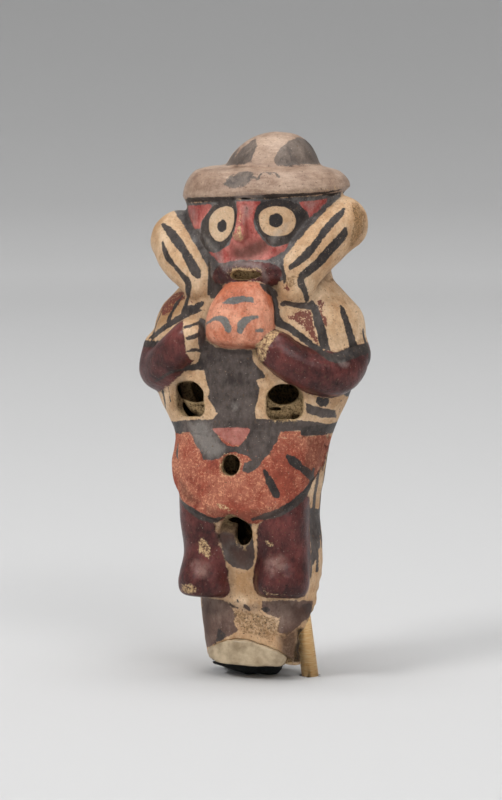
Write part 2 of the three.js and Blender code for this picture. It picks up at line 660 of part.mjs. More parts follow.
// The origin goes under the middle of the whole
const extent = new THREE.Box3().setFromObject(whistle);
const middle = extent.getCenter(new THREE.Vector3());
whistle.position.set(-middle.x, -middle.y, -extent.min.z);

export default whistle;
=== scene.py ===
"""A slip-painted clay figural whistle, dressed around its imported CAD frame."""
import json
import math

import bpy
import numpy as np
import openvdb
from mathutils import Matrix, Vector


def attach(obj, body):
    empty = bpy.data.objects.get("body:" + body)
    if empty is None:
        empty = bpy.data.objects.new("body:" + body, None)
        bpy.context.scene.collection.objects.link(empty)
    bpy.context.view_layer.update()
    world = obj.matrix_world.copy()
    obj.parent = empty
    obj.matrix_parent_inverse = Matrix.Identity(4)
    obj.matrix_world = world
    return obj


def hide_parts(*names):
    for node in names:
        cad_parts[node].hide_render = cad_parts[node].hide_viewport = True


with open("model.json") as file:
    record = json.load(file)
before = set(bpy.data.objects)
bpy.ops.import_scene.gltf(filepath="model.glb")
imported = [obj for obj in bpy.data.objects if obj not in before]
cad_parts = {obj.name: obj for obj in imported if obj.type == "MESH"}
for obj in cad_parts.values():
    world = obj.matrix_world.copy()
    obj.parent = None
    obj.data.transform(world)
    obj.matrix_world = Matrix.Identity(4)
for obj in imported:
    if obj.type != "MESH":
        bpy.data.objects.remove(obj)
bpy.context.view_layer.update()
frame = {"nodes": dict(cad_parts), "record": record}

MM = 0.001
REAL = np.float32

# The figure is worked in the drawing's frame, in millimetres: part.mjs recentres the whole at its end, and
# the post's foot tells by how much
POST = {"foot": (10.2, 1.8), "lean": -0.14, "radius": 1.59, "chamfer": 0.35}
foot_mount = next(m for m in frame["record"]["mounts"] if m["name"] == "post_foot")
SHIFT = np.array([foot_mount["pos_m"][i] / MM - POST["foot"][i] for i in (0, 1)] + [0.0])

# ---------------------------------------------------------------- the figure's measures, as in part.mjs

WALL = 2.0
SEAT_GAP = 0.3
FOOT_Z = 2.9
BELT_Z = 46.5
SHOULDER_Z = 66.5
NECK_Z = 74.6
HEAD_TOP_Z = 90.4
BRIM_HEIGHT = 5.8
FOOT_HALF = 9.8
BELT_HALF = 15.2
SHOULDER_HALF = 20.3
NECK_HALF = 13.9
HEAD_HALF = 14.9
FOOT_DEEP = 7.6
BELLY_DEEP = 11.6
HEAD_DEEP = 11.3
HEAD_TILT = 0.062
TILT_FROM_Z = NECK_Z - 4.6
TILT_FULL_Z = NECK_Z + 5.4
TILT_GONE_Z = HEAD_TOP_Z + BRIM_HEIGHT
BLOCK_LOW_Z = BELT_Z - 13.3

# Rings of a loft: height, half width, half depth, the middle's x and y, and how square the ring is
STATIONS = [
    (FOOT_Z, FOOT_HALF, FOOT_DEEP, 0.6, 0.5, 2.2),
    (FOOT_Z + 6.1, FOOT_HALF + 0.9, FOOT_DEEP + 0.4, 0.8, 0.4, 2.2),
    (FOOT_Z + 12.1, FOOT_HALF + 1.6, FOOT_DEEP + 0.9, 0.9, 0.4, 2.2),
    (FOOT_Z + 20.1, BELT_HALF - 3.0, FOOT_DEEP + 1.7, 0.3, 0.4, 2.2),
    (BELT_Z - 15.5, BELT_HALF - 2.3, BELLY_DEEP - 1.1, -0.9, 0.1, 2.1),
    (BELT_Z - 6.5, BELT_HALF - 1.0, BELLY_DEEP - 0.2, -0.9, -0.4, 2.1),
    (BELT_Z, BELT_HALF, BELLY_DEEP, -0.6, -0.4, 2.1),
    (BELT_Z + 6.5, SHOULDER_HALF - 2.2, BELLY_DEEP + 0.2, -0.4, -0.4, 2.1),
    (SHOULDER_Z - 6.5, SHOULDER_HALF - 0.4, BELLY_DEEP + 0.1, 0.3, -0.5, 2.1),
    (SHOULDER_Z, SHOULDER_HALF, BELLY_DEEP - 0.4, 0.8, -0.3, 2.0),
    (SHOULDER_Z + 3.5, SHOULDER_HALF - 1.1, BELLY_DEEP - 0.9, 0.9, -0.3, 1.9),
    (NECK_Z - 2.2, NECK_HALF + 2.7, HEAD_DEEP - 1.0, 0.9, -0.3, 1.9),
    (NECK_Z + 0.6, NECK_HALF, HEAD_DEEP - 1.1, 0.6, -0.3, 2.0),
    (NECK_Z + 5.4, NECK_HALF - 0.2, HEAD_DEEP - 0.4, 0.8, -0.3, 1.9),
    (HEAD_TOP_Z - 4.2, HEAD_HALF - 0.4, HEAD_DEEP, 1.2, -0.1, 1.9),
    (HEAD_TOP_Z, HEAD_HALF, HEAD_DEEP, 1.7, 0.2, 2.0),
]
BRIM = [
    (0.0, HEAD_HALF + 0.7, HEAD_DEEP + 1.1, 2.0, 0.3, 2.2),
    (1.0, HEAD_HALF + 0.9, HEAD_DEEP + 1.3, 2.0, 0.3, 2.2),
    (3.0, HEAD_HALF + 0.2, HEAD_DEEP + 0.9, 2.0, 0.4, 2.2),
    (4.9, HEAD_HALF - 1.4, HEAD_DEEP - 0.1, 2.1, 0.5, 2.1),
    (BRIM_HEIGHT, HEAD_HALF - 3.5, HEAD_DEEP - 1.2, 2.3, 0.6, 2.0),
]
CROWN = [
    (0.0, 8.9, 8.6, 3.1, 0.8, 2.0),
    (2.0, 7.9, 7.8, 3.3, 0.8, 2.0),
    (4.1, 6.2, 6.1, 3.6, 0.8, 2.0),
    (5.6, 3.9, 3.8, 3.7, 0.8, 2.0),
    (6.4, 1.2, 1.2, 3.8, 0.8, 2.0),
]
HELD_Z = 63.1
HELD_HALF = 6.4
HELD_Y = 0.1 - BELLY_DEEP
HELD_HEAD = [
    (HELD_Z, HELD_HALF - 2.4, 2.6, 0.3, HELD_Y + 0.1, 2.3),
    (HELD_Z + 1.3, HELD_HALF - 0.4, 3.5, 0.4, HELD_Y, 2.4),
    (HELD_Z + 4.1, HELD_HALF, 4.2, 0.6, HELD_Y, 2.4),
    (HELD_Z + 7.1, HELD_HALF - 0.3, 4.1, 0.9, HELD_Y + 0.1, 2.3),
    (HELD_Z + 9.3, HELD_HALF - 1.2, 3.6, 1.2, HELD_Y + 0.2, 2.2),
    (HELD_Z + 11.1, HELD_HALF - 2.3, 3.0, 1.4, HELD_Y + 0.3, 2.2),
    (HELD_Z + 12.3, HELD_HALF - 3.2, 2.4, 1.6, HELD_Y + 0.5, 2.2),
]

# Rolls of clay: x, y, z and half thickness at each stop
LOBES = {
    "left": [
        (HEAD_HALF + 1.5, -0.8, HEAD_TOP_Z - 5.8, 5.5),
        (HEAD_HALF - 1.1, -4.8, HEAD_TOP_Z - 9.0, 5.0),
        (HEAD_HALF - 3.4, -7.2, NECK_Z + 3.0, 4.1),
        (HEAD_HALF - 4.6, -8.0, NECK_Z - 0.8, 3.2),
    ],
    "right": [
        (0.2 - HEAD_HALF, -0.8, HEAD_TOP_Z - 7.0, 5.4),
        (2.8 - HEAD_HALF, -5.0, HEAD_TOP_Z - 10.2, 5.0),
        (5.0 - HEAD_HALF, -7.2, NECK_Z + 2.4, 4.0),
        (6.1 - HEAD_HALF, -8.0, NECK_Z, 3.0),
    ],
}
ARMS = {
    "left": [
        (SHOULDER_HALF - 2.3, -0.6, SHOULDER_Z - 5.1, 4.2),
        (SHOULDER_HALF - 3.3, -4.6, SHOULDER_Z - 7.9, 4.5),
        (SHOULDER_HALF - 6.9, -8.8, SHOULDER_Z - 7.5, 4.0),
        (SHOULDER_HALF - 10.5, -11.2, SHOULDER_Z - 5.4, 3.6),
        (SHOULDER_HALF - 12.7, -11.9, SHOULDER_Z - 3.6, 3.5),
    ],
    "right": [
        (2.3 - SHOULDER_HALF, -0.6, SHOULDER_Z - 5.2, 4.1),
        (3.1 - SHOULDER_HALF, -4.2, SHOULDER_Z - 8.2, 4.3),
        (6.0 - SHOULDER_HALF, -8.2, SHOULDER_Z - 6.6, 3.9),
        (9.0 - SHOULDER_HALF, -10.4, SHOULDER_Z - 3.8, 3.6),
        (10.8 - SHOULDER_HALF, -11.0, SHOULDER_Z - 1.6, 3.3),
    ],
}
HIP_Z = BELT_Z - 10.5
SOLE_Z = {"left": 16.6, "right": 15.9}
LEGS = {
    "left": [
        (6.6, -4.4, HIP_Z, 4.6),
        (6.9, -5.5, HIP_Z - 5.0, 5.1),
        (7.2, -6.0, HIP_Z - 11.5, 4.8),
        (7.4, -7.2, SOLE_Z["left"] + 2.8, 5.0),
    ],
    "right": [
        (-7.6, -4.2, HIP_Z, 4.6),
        (-7.7, -5.3, HIP_Z - 5.0, 5.2),
        (-7.4, -5.8, HIP_Z - 11.5, 4.8),
        (-7.7, -7.0, SOLE_Z["right"] + 2.6, 5.2),
    ],
}
NOSE = [
    (1.1, 0.2 - HEAD_DEEP, HEAD_TOP_Z - 1.6, 0.7),
    (0.9, -0.6 - HEAD_DEEP, HEAD_TOP_Z - 4.4, 0.9),
    (0.7, -1.0 - HEAD_DEEP, HEAD_TOP_Z - 6.4, 1.4),
]
MUZZLE = {"middle": (1.7, 2.1 - HEAD_DEEP, NECK_Z + 2.3), "half": (7.4, 3.4, 2.8)}
MOUTH = {"x": 2.0, "z": NECK_Z + 1.9, "half": (3.0, 0.95), "near": HEAD_DEEP - 1.4}
WINDOW = {"width": 6.8, "height": 6.6, "z": BELT_Z + 6.7, "corner": 1.7, "turn": 0.4, "reach": 12.0}
WINDOW_X = {"left": 9.2, "right": -10.0}
SLANTED = {"spot": (-10.2, -8.5, 54.3), "half": (2.65, 1.6), "turn": -0.5, "deep": 5.5}
BELLY_HOLE = {"x": -1.0, "z": BELT_Z - 5.2, "half": (1.9, 2.01), "near": 5.0}
CROTCH_HOLE = {"x": 0.5, "z": BELT_Z - 21.6, "half": (1.6, 2.1), "near": 4.0, "rise": 0.35}
APRON = {
    "low": BELT_Z - 16.0,
    "high": BELT_Z + 0.1,
    "corner": BELT_Z - 7.5,
    "left": BELT_HALF - 1.4,
    "right": BELT_HALF - 0.2,
    "middle": 0.6,
    "thick": 0.9,
    "over_thigh": 0.5,
}
# Edges of what broke away, seen at this turn about Z
BREAK_TURN = math.pi / 10
BREAK = [
    (7.8, -2), (7.8, 6.2), (8.2, 8.1), (8.9, 9.5), (10.0, 12.4), (10.8, 14.7), (11.2, 16.4), (12.4, 18.6),
    (18, 18.6), (18, -2),
]
WORN = [(-12, 2), (-7.2, 2), (-7.2, 2.9), (-8.7, 3.7), (-9.6, 5.3), (-12, 6.3)]
CHIP = {"z": FOOT_Z + 5.9, "slope": 0.96, "right": 8.6, "fill_right": 7.3}
FILL_EDGE = [
    (-13, 3.4), (-10.6, 4.4), (-8.9, 5.3), (-6.9, 6.4), (-4.8, 7.2), (-1.7, 7.9), (0.5, 7.9), (3.9, 6.9), (5.8, 6.0),
    (7.2, 5.1), (8.8, 4.0), (8.8, -2), (-13, -2),
]

# The photograph was taken from the figure's front, a little to its left and above. The marks below were read off
# it in its pixels, and are carried to the clay along those lines of sight, fixed to the figure.
CHART_TURN = math.radians(18)
CHART_RISE = math.radians(6)
CHART_AWAY = 600.0
CHART_SCALE = 0.188  # millimetres to a pixel at the figure
CHART_MIDDLE = np.array([0.0, 0.0, 52.0])
CHART_AT = (256.0, 401.43)  # the pixel of the middle
TO_RIGHT = np.array([math.cos(CHART_TURN), math.sin(CHART_TURN), 0.0])
TO_EYE = np.array(
    [math.sin(CHART_TURN) * math.cos(CHART_RISE), -math.cos(CHART_TURN) * math.cos(CHART_RISE), math.sin(CHART_RISE)]
)
TO_TOP = np.cross(TO_EYE, TO_RIGHT)

# ---------------------------------------------------------------- voxels

VOXEL = 0.3
LOW = np.array([-23.6, -17.0, -0.6])
HIGH = np.array([24.2, 14.4, 104.2])
COUNT = np.ceil((HIGH - LOW) / VOXEL).astype(int) + 1
TICKS = [(LOW[i] + VOXEL * np.arange(COUNT[i])).astype(REAL) for i in range(3)]
FAR = REAL(9.0)
ROLL_ROUND = (3.0, 3.0, 5.0)  # the room round a roll in which its distance is worked out
CAD_ROUND = 8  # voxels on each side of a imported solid's skin


def smoothstep(t):
    t = np.clip(t, 0.0, 1.0)
    return t * t * (3 - 2 * t)


def before_tilt(x, z):
    """The height that a point had before the head was set askew."""
    u = z + 0 * x
    for _ in range(6):
        grows = smoothstep((u - TILT_FROM_Z) / (TILT_FULL_Z - TILT_FROM_Z))
        fades = smoothstep((u - HEAD_TOP_Z) / (TILT_GONE_Z - HEAD_TOP_Z))
        u = z - HEAD_TILT * (grows - fades) * x
    return u


X, Y, LEVEL = TICKS[0][:, None, None], TICKS[1][None, :, None], TICKS[2][None, None, :]
Z = before_tilt(X, LEVEL)  # the height before the tilt, which every form is made in


def smooth_min(a, b, k):
    """The nearer of two distances, run together over k millimetres."""
    h = np.clip(0.5 + (b - a) / (2 * k), 0, 1)
    return (b + (a - b) * h - k * h * (1 - h)).astype(REAL)


def smooth_max(a, b, k):
    return -smooth_min(-a, -b, k)


def along(stations, column, z):
    """A smooth value through the stations by height, held flat past both ends."""
    at = np.array([s[0] for s in stations])
    value = np.array([s[column] for s in stations])
    last = len(at) - 1
    up = np.minimum(np.arange(last + 1) + 1, last)
    down = np.maximum(np.arange(last + 1) - 1, 0)
    slope = (value[up] - value[down]) / (at[up] - at[down])
    z = np.clip(z, at[0], at[-1])
    i = np.clip(np.searchsorted(at, z, side="right") - 1, 0, last - 1)
    span = at[i + 1] - at[i]
    t = (z - at[i]) / span
    low = (2 * t**3 - 3 * t**2 + 1) * value[i] + (t**3 - 2 * t**2 + t) * span * slope[i]
    high = (3 * t**2 - 2 * t**3) * value[i + 1] + (t**3 - t**2) * span * slope[i + 1]
    return (low + high).astype(REAL)


def steepness(field):
    """How fast a field rises, held near one."""
    parts = np.gradient(field, VOXEL)
    return np.clip(np.sqrt(sum(p * p for p in parts)), 0.7, 2.5)


def lofted(stations, base=0.0, grow=0.0):
    """Distance from the side of a loft."""
    width, depth, mid_x, mid_y, square = (along(stations, column, Z - base) for column in range(1, 6))
    x, y = X - mid_x, Y - mid_y
    ring = (np.abs(x / (width + grow)) ** square + np.abs(y / (depth + grow)) ** square) ** (1 / square)
    reach = np.sqrt(x * x + y * y) * (1 - 1 / np.maximum(ring, 1e-3))
    return (reach / steepness(reach)).astype(REAL)


def between(low, high):
    return np.maximum(low - Z, Z - high)


def spline(stops, steps=6):
    """A smooth line through the stops."""
    stops = np.array(stops, float)
    ends = np.vstack([2 * stops[0] - stops[1], stops, 2 * stops[-1] - stops[-2]])
    out = []
    for i in range(1, len(ends) - 2):
        a, b, c, d = ends[i - 1 : i + 3]
        for t in np.arange(steps) / steps:
            out.append(0.5 * (2 * b + (c - a) * t + (2 * a - 5 * b + 4 * c - d) * t**2 + (3 * (b - c) + d - a) * t**3))
    return np.array(out + [stops[-1]])


def rolled(stops):
    """Distance from a roll of clay, worked out round it and far away elsewhere."""
    line = spline(stops)
    reach = line[:, 3].max() + np.array(ROLL_ROUND)
    first = np.floor((line[:, :3].min(0) - reach - LOW) / VOXEL).astype(int)
    last = np.ceil((line[:, :3].max(0) + reach - LOW) / VOXEL).astype(int) + 1
    cut = tuple(slice(int(a), int(b)) for a, b in zip(np.clip(first, 0, COUNT - 2), np.clip(last, 2, COUNT)))
    best = np.full([c.stop - c.start for c in cut], FAR, REAL)
    for a, b in zip(line[:-1], line[1:]):
        way = b[:3] - a[:3]
        from_x, from_y, from_z = X[cut[0]] - a[0], Y[:, cut[1]] - a[1], Z[cut[0], :, cut[2]] - a[2]
        t = np.clip((from_x * way[0] + from_y * way[1] + from_z * way[2]) / (way @ way), 0, 1)
        gap = (from_x - t * way[0]) ** 2 + (from_y - t * way[1]) ** 2 + (from_z - t * way[2]) ** 2
        best = np.minimum(best, np.sqrt(gap) - (a[3] + t * (b[3] - a[3])))
    out = np.full(COUNT, FAR, REAL)
    out[cut] = best
    return out


def rounded(offsets, half):
    """Roughly the distance from an ellipse or an ellipsoid."""
    near = np.sqrt(sum((offset / length) ** 2 for offset, length in zip(offsets, half)))
    slope = np.sqrt(sum((offset / length**2) ** 2 for offset, length in zip(offsets, half)))
    return near * (near - 1) / np.maximum(slope, 1e-4)


def outline_distance(x, y, outline):
    """Distance from a closed outline in the plane, less than nothing inside it."""
    points = np.array(outline, float)
    gap = np.full(np.broadcast_shapes(x.shape, y.shape), 1e9)
    inside = np.zeros(gap.shape, bool)
    for (ax, ay), (bx, by) in zip(points, np.roll(points, -1, 0)):
        wx, wy = bx - ax, by - ay
        t = np.clip(((x - ax) * wx + (y - ay) * wy) / (wx * wx + wy * wy + 1e-12), 0, 1)
        gap = np.minimum(gap, (x - ax - t * wx) ** 2 + (y - ay - t * wy) ** 2)
        crosses = ((ay > y) != (by > y)) & (x < ax + wx * (y - ay) / (wy if abs(wy) > 1e-9 else 1e-9))
        inside ^= crosses
    return np.where(inside, -np.sqrt(gap), np.sqrt(gap))


def blurred(field, sigma):
    """The field, softened over sigma millimetres."""
    reach = int(math.ceil(2.5 * sigma / VOXEL))
    steps = np.arange(-reach, reach + 1)
    weights = np.exp(-0.5 * (steps * VOXEL / sigma) ** 2)
    weights /= weights.sum()
    for axis in range(3):
        padded = np.pad(field, [(reach, reach) if i == axis else (0, 0) for i in range(3)], mode="edge")
        out = np.zeros_like(field)
        for step, weight in zip(range(2 * reach + 1), weights):
            take = [slice(None)] * 3
            take[axis] = slice(step, step + field.shape[axis])
            out += REAL(weight) * padded[tuple(take)]
        field = out
    return field


def lumps(seed, spacing):
    """Soft lumps over all voxels, about a spacing apart."""
    rng = np.random.default_rng(seed)
    sizes = [int(math.ceil((HIGH[i] - LOW[i]) / spacing)) + 4 for i in range(3)]
    value = rng.normal(0, 1, sizes).astype(REAL)
    for axis in range(3):
        t = (TICKS[axis] - LOW[axis]) / spacing
        i = np.floor(t).astype(int)
        f = t - i
        weights = np.zeros((COUNT[axis], sizes[axis]), REAL)
        rows = np.arange(COUNT[axis])
        weights[rows, i] = (1 - f) ** 3 / 6
        weights[rows, i + 1] = (3 * f**3 - 6 * f**2 + 4) / 6
        weights[rows, i + 2] = (-3 * f**3 + 3 * f**2 + 3 * f + 1) / 6
        weights[rows, i + 3] = f**3 / 6
        value = np.moveaxis(np.tensordot(weights, value, axes=(1, axis)), 0, axis)
    return (value / value.std()).astype(REAL)


def from_cad(name, sigma=0.0):
    """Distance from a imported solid, softened over sigma millimetres."""
    mesh = frame["nodes"][name].data
    mesh.calc_loop_triangles()
    points = np.empty(len(mesh.vertices) * 3, REAL)
    mesh.vertices.foreach_get("co", points)
    corners = np.empty(len(mesh.loop_triangles) * 3, np.int32)
    mesh.loop_triangles.foreach_get("vertices", corners)
    points = points.reshape(-1, 3) / MM - SHIFT - LOW
    whole, place = np.unique(np.round(points, 4), axis=0, return_inverse=True)
    grid = openvdb.FloatGrid.createLevelSetFromPolygons(
        whole.astype(REAL),
        triangles=place.reshape(-1)[corners].reshape(-1, 3).astype(np.uint32),
        transform=openvdb.createLinearTransform(voxelSize=VOXEL),
        halfWidth=CAD_ROUND,
    )
    field = np.full(COUNT, FAR, REAL)
    grid.copyToArray(field)
    return blurred(field, sigma) if sigma else field

# ---------------------------------------------------------------- the clay figure as one skin

SIDES = {"left": 1, "right": -1}
TREMOR = 0.11  # how lumpy the modelled surface is
GRIT = 0.035


def window_tool(name):
    """Distance from the hand-cut hole of a window, from the middle of the chest outwards."""
    side = SIDES[name]
    half = WINDOW["width"] / 2
    corner = WINDOW["corner"]
    sill = -WINDOW["height"] / 2
    spring = WINDOW["height"] / 2 - 0.8 * half
    turn = side * WINDOW["turn"]
    x = X - (WINDOW_X[name] - side * WINDOW["reach"] * math.sin(WINDOW["turn"]))
    across = x * math.cos(turn) + Y * math.sin(turn)
    back = Y * math.cos(turn) - x * math.sin(turn)
    z = Z - WINDOW["z"]
    over_x = np.abs(across) - (half - corner)
    over_z = sill + corner - z
    box = np.hypot(np.maximum(over_x, 0), np.maximum(over_z, 0)) + np.minimum(np.maximum(over_x, over_z), 0) - corner
    arch = rounded((across, z - spring), (half, 0.8 * half))
    return np.maximum(np.where(z > spring, arch, box), back).astype(REAL)


def front_hole(hole):
    """Distance from a hole pricked in from the front."""
    rise = hole.get("rise", 0.0)
    z = Z - hole["z"]
    deep = Y * math.cos(rise) - z * math.sin(rise)
    up = Y * math.sin(rise) + z * math.cos(rise)
    return np.maximum(rounded((X - hole["x"], up), hole["half"]), deep + hole["near"]).astype(REAL)


def slanted_mouth():
    """Distance from the slanting mouth of the chamber behind the right window, pricked along the line of sight."""
    spot = SLANTED["spot"]
    x, y, z = X - spot[0], Y - spot[1], Z - spot[2]
    across = x * TO_RIGHT[0] + y * TO_RIGHT[1]
    up = x * TO_TOP[0] + y * TO_TOP[1] + z * TO_TOP[2]
    deep = -(x * TO_EYE[0] + y * TO_EYE[1] + z * TO_EYE[2])
    c, s = math.cos(SLANTED["turn"]), math.sin(SLANTED["turn"])
    hole = rounded((across * c + up * s, up * c - across * s), SLANTED["half"])
    return np.maximum(np.maximum(hole, deep - SLANTED["deep"]), -deep - 2.0).astype(REAL)


def chip_plane():
    """Distance above the bevel that was chipped off the front of the foot."""
    front = float(along(STATIONS, 4, CHIP["z"]) - along(STATIONS, 2, CHIP["z"]))
    out = (Y - front) * math.sin(CHIP["slope"]) + (Z - CHIP["z"]) * math.cos(CHIP["slope"])
    return (out + 0 * X).astype(REAL)


def lost(edge):
    """Distance from what broke away beyond an edge."""
    across = X * math.cos(BREAK_TURN) + Y * math.sin(BREAK_TURN)
    return outline_distance(across, Z, edge).astype(REAL)


def apron_outline():
    """Distance from the loincloth's outline, seen from the front."""
    middle, corner, low, high = APRON["middle"], APRON["corner"], APRON["low"], APRON["high"]
    x = X - middle

    def edge(half, bend, out):
        """A side that is straight above the height of its bend and round below."""
        return np.where(Z > bend, out - half, rounded((x, np.minimum(Z - bend, 0)), (half, bend - low)))

    side = np.where(x < 0, edge(APRON["right"], corner, -x), edge(APRON["left"], high, x))
    return np.maximum(np.maximum(side, Z - high), Y + 0.6).astype(REAL)


def post_line(radius):
    way = np.array([POST["lean"], 0, 1]) / math.hypot(POST["lean"], 1)
    x, y, z = X - POST["foot"][0], Y - POST["foot"][1], LEVEL
    t = x * way[0] + z * way[2]
    return (np.sqrt((x - t * way[0]) ** 2 + y * y + (z - t * way[2]) ** 2) - radius).astype(REAL)


def build_figure():
    """The figure's distance fields: whole, before the hollow, before any hole, and each node's own solid."""
    coarse, medium, fine = lumps(11, 4.6), lumps(12, 1.5), lumps(13, 0.75)
    own = {}
    skin = smooth_max(lofted(STATIONS), between(FOOT_Z, HEAD_TOP_Z), 0.4)
    hollow = np.maximum(lofted(STATIONS, grow=-WALL), Z - (HEAD_TOP_Z - WALL)).astype(REAL)
    hollow += REAL(0.12) * coarse
    muzzle = rounded([axis - at for axis, at in zip((X, Y, Z), MUZZLE["middle"])], MUZZLE["half"]).astype(REAL)
    base = HEAD_TOP_Z + 0.12
    brim = smooth_max(lofted(BRIM, base), between(base, base + BRIM_HEIGHT), 1.3)
    top = base + BRIM_HEIGHT + 0.12
    crown = smooth_max(lofted(CROWN, top), between(top - 1.5, top + CROWN[-1][0]), 0.8)
    held = smooth_max(lofted(HELD_HEAD), between(HELD_Z, HELD_HEAD[-1][0]), 1.6)
    nose = rolled(NOSE)
    shell = np.maximum(skin, -hollow)
    own["body_shell"] = np.maximum(shell, Z - NECK_Z)
    own["head_shell"] = np.maximum(np.minimum(shell, muzzle), NECK_Z - Z)
    own["hat_brim"] = brim
    own["hat_crown"] = crown
    own["held_head"] = np.maximum(held, -np.minimum(skin, muzzle))
    own["nose"] = np.maximum(nose, -np.minimum(skin, muzzle))

    # What was luted on to the body
    solid = smooth_min(skin, np.maximum(muzzle, NECK_Z - Z), 1.6)
    solid = smooth_min(solid, smooth_min(brim, crown, 0.9), 1.3)
    solid = smooth_min(solid, nose, 1.3)
    for name in SIDES:
        lobe = rolled(LOBES[name])
        arm = rolled(ARMS[name])
        own[f"{name}_headcloth_lobe"] = np.maximum(lobe, -np.minimum(np.minimum(skin, muzzle), brim))
        own[f"{name}_arm"] = np.maximum(arm, -np.minimum(np.minimum(skin, held), lobe))
        solid = smooth_min(solid, lobe, 1.1)
        solid = smooth_min(solid, arm, 1.1)
    solid = smooth_min(solid, held, 0.7)
    cloth = apron_outline()
    full = REAL(APRON["thick"] + 0.05) * smoothstep((APRON["high"] - Z) / 6.5) - REAL(0.05)
    sheet = skin - full.astype(REAL)
    thigh = np.full(COUNT, FAR, REAL)
    for name in SIDES:
        leg = smooth_max(rolled(LEGS[name]), (SOLE_Z[name] - Z).astype(REAL), 1.2)
        own[f"{name}_leg"] = np.maximum(np.maximum(leg, -skin), -cloth)
        thigh = np.minimum(thigh, leg)
        solid = smooth_min(solid, leg, 1.4)
    sheet = smooth_min(sheet, thigh - REAL(APRON["over_thigh"]), 1.0)
    apron = smooth_max(sheet, cloth, 0.7)
    own["apron"] = np.maximum(np.maximum(np.minimum(sheet, skin - REAL(APRON["thick"])), cloth), -skin - REAL(0.8))
    solid = smooth_min(solid, apron, 0.4)
    solid += REAL(TREMOR) * coarse + REAL(GRIT) * medium

    # What was cut and what broke away
    figure = solid
    for name in SIDES:
        figure = smooth_max(figure, -window_tool(name) - REAL(0.13) * medium, 0.16)
    figure = smooth_max(figure, -lost(BREAK) - REAL(0.24) * medium - REAL(0.12) * fine, 0.12)
    figure = smooth_max(figure, -lost(WORN) - REAL(0.2) * medium - REAL(0.1) * fine, 0.3)
    out = chip_plane()
    arc = outline_distance(X, Z, FILL_EDGE).astype(REAL)
    chipped = np.maximum(np.maximum(out, X - CHIP["right"]), arc) + REAL(0.1) * medium
    figure = smooth_max(figure, -chipped, 0.15)
    bore = np.maximum(post_line(POST["radius"] + SEAT_GAP), Z - BLOCK_LOW_Z)
    front = float(along(STATIONS, 4, CROTCH_HOLE["z"]) - along(STATIONS, 2, CROTCH_HOLE["z"]))
    dish = {**CROTCH_HOLE, "x": CROTCH_HOLE["x"] - 1.9, "half": (2.5, 2.7), "near": 0.6 - front}
    for hole, k in ((BELLY_HOLE, 0.3), (CROTCH_HOLE, 0.35), (dish, 0.5), (MOUTH, 0.35)):
        figure = smooth_max(figure, -front_hole(hole) - REAL(0.12) * medium, k)
    rimmed = figure
    figure = smooth_max(figure, -hollow, 0.2)

    # The chambers, ducts and plug inside, luted to the wall
    for name in INNER:
        own[name] = from_cad(name, 0.35)
        figure = smooth_min(figure, own[name] + REAL(0.05) * medium, 0.75)
    figure = np.maximum(np.maximum(figure, -chipped), -bore)
    figure = smooth_max(figure, -slanted_mouth() - REAL(0.1) * medium, 0.2)

    # The pale fill on the chip, swelling out over its edge
    wax = smooth_max(solid - REAL(0.42) + REAL(0.12) * medium, arc + REAL(0.1) * medium, 0.9)
    wax = np.maximum(wax, np.minimum(out + REAL(0.06), REAL(0.02) - solid))
    wax = np.maximum(wax, X - CHIP["fill_right"] + REAL(0.15) * fine)
    wax = smooth_max(wax, (Y - 1.0 + 0 * X).astype(REAL) + REAL(0.2) * medium, 0.6)
    wax = smooth_max(wax, -lost(WORN) + REAL(0.1) * fine, 0.5)
    wax = smooth_max(wax, FOOT_Z - Z, 0.5) + REAL(0.03) * fine
    foam = blurred(np.minimum(from_cad("foam_wedge"), 2.0), 0.25) + REAL(0.09) * medium + REAL(0.06) * fine
    foam = np.maximum(foam, REAL(0.02) - Z).astype(REAL)
    return figure, rimmed, solid, own, {"foot_fill": wax.astype(REAL), "foam_wedge": foam}


INNER = ("left_resonator", "right_resonator", "left_windway", "right_windway", "wind_block")
LAP = 0.3  # how far neighbouring pieces run into each other, so that no seam shows


def sample(field, points):
    """The field's values at points, between voxels."""
    q = (points - LOW) / VOXEL
    i = np.clip(np.floor(q).astype(int), 0, COUNT - 2)
    f = np.clip(q - i, 0, 1).astype(REAL)
    flat = field.reshape(-1)
    step = (int(COUNT[1] * COUNT[2]), int(COUNT[2]), 1)
    at = i @ np.array(step)
    out = 0
    for a in (0, 1):
        for b in (0, 1):
            for c in (0, 1):
                weight = (f[:, 0] if a else 1 - f[:, 0]) * (f[:, 1] if b else 1 - f[:, 1])
                weight = weight * (f[:, 2] if c else 1 - f[:, 2])
                out = out + weight * flat[at + a * step[0] + b * step[1] + c * step[2]]
    return out


def slope_at(field, points, reach=0.35):
    """The field's direction of rise at points, as unit vectors."""
    parts = []
    for axis in range(3):
        move = np.zeros(3)
        move[axis] = reach
        parts.append(sample(field, points + move) - sample(field, points - move))
    rise = np.stack(parts, 1)
    return rise / np.maximum(np.linalg.norm(rise, axis=1, keepdims=True), 1e-6)


def surface(field):
    """Points and four-sided faces of a field's skin."""
    taken = np.argwhere(field < 0)
    cut = tuple(slice(max(int(a) - 2, 0), int(b) + 3) for a, b in zip(taken.min(0), taken.max(0)))
    part = np.pad(field[cut], 1, constant_values=FAR)
    grid = openvdb.FloatGrid()
    grid.background = float(FAR)
    grid.copyFromArray(np.ascontiguousarray(part))
    points, quads = grid.convertToQuads(isovalue=0.0)
    start = np.array([c.start for c in cut]) - 1
    return LOW + VOXEL * (points + start), quads.astype(np.int32)


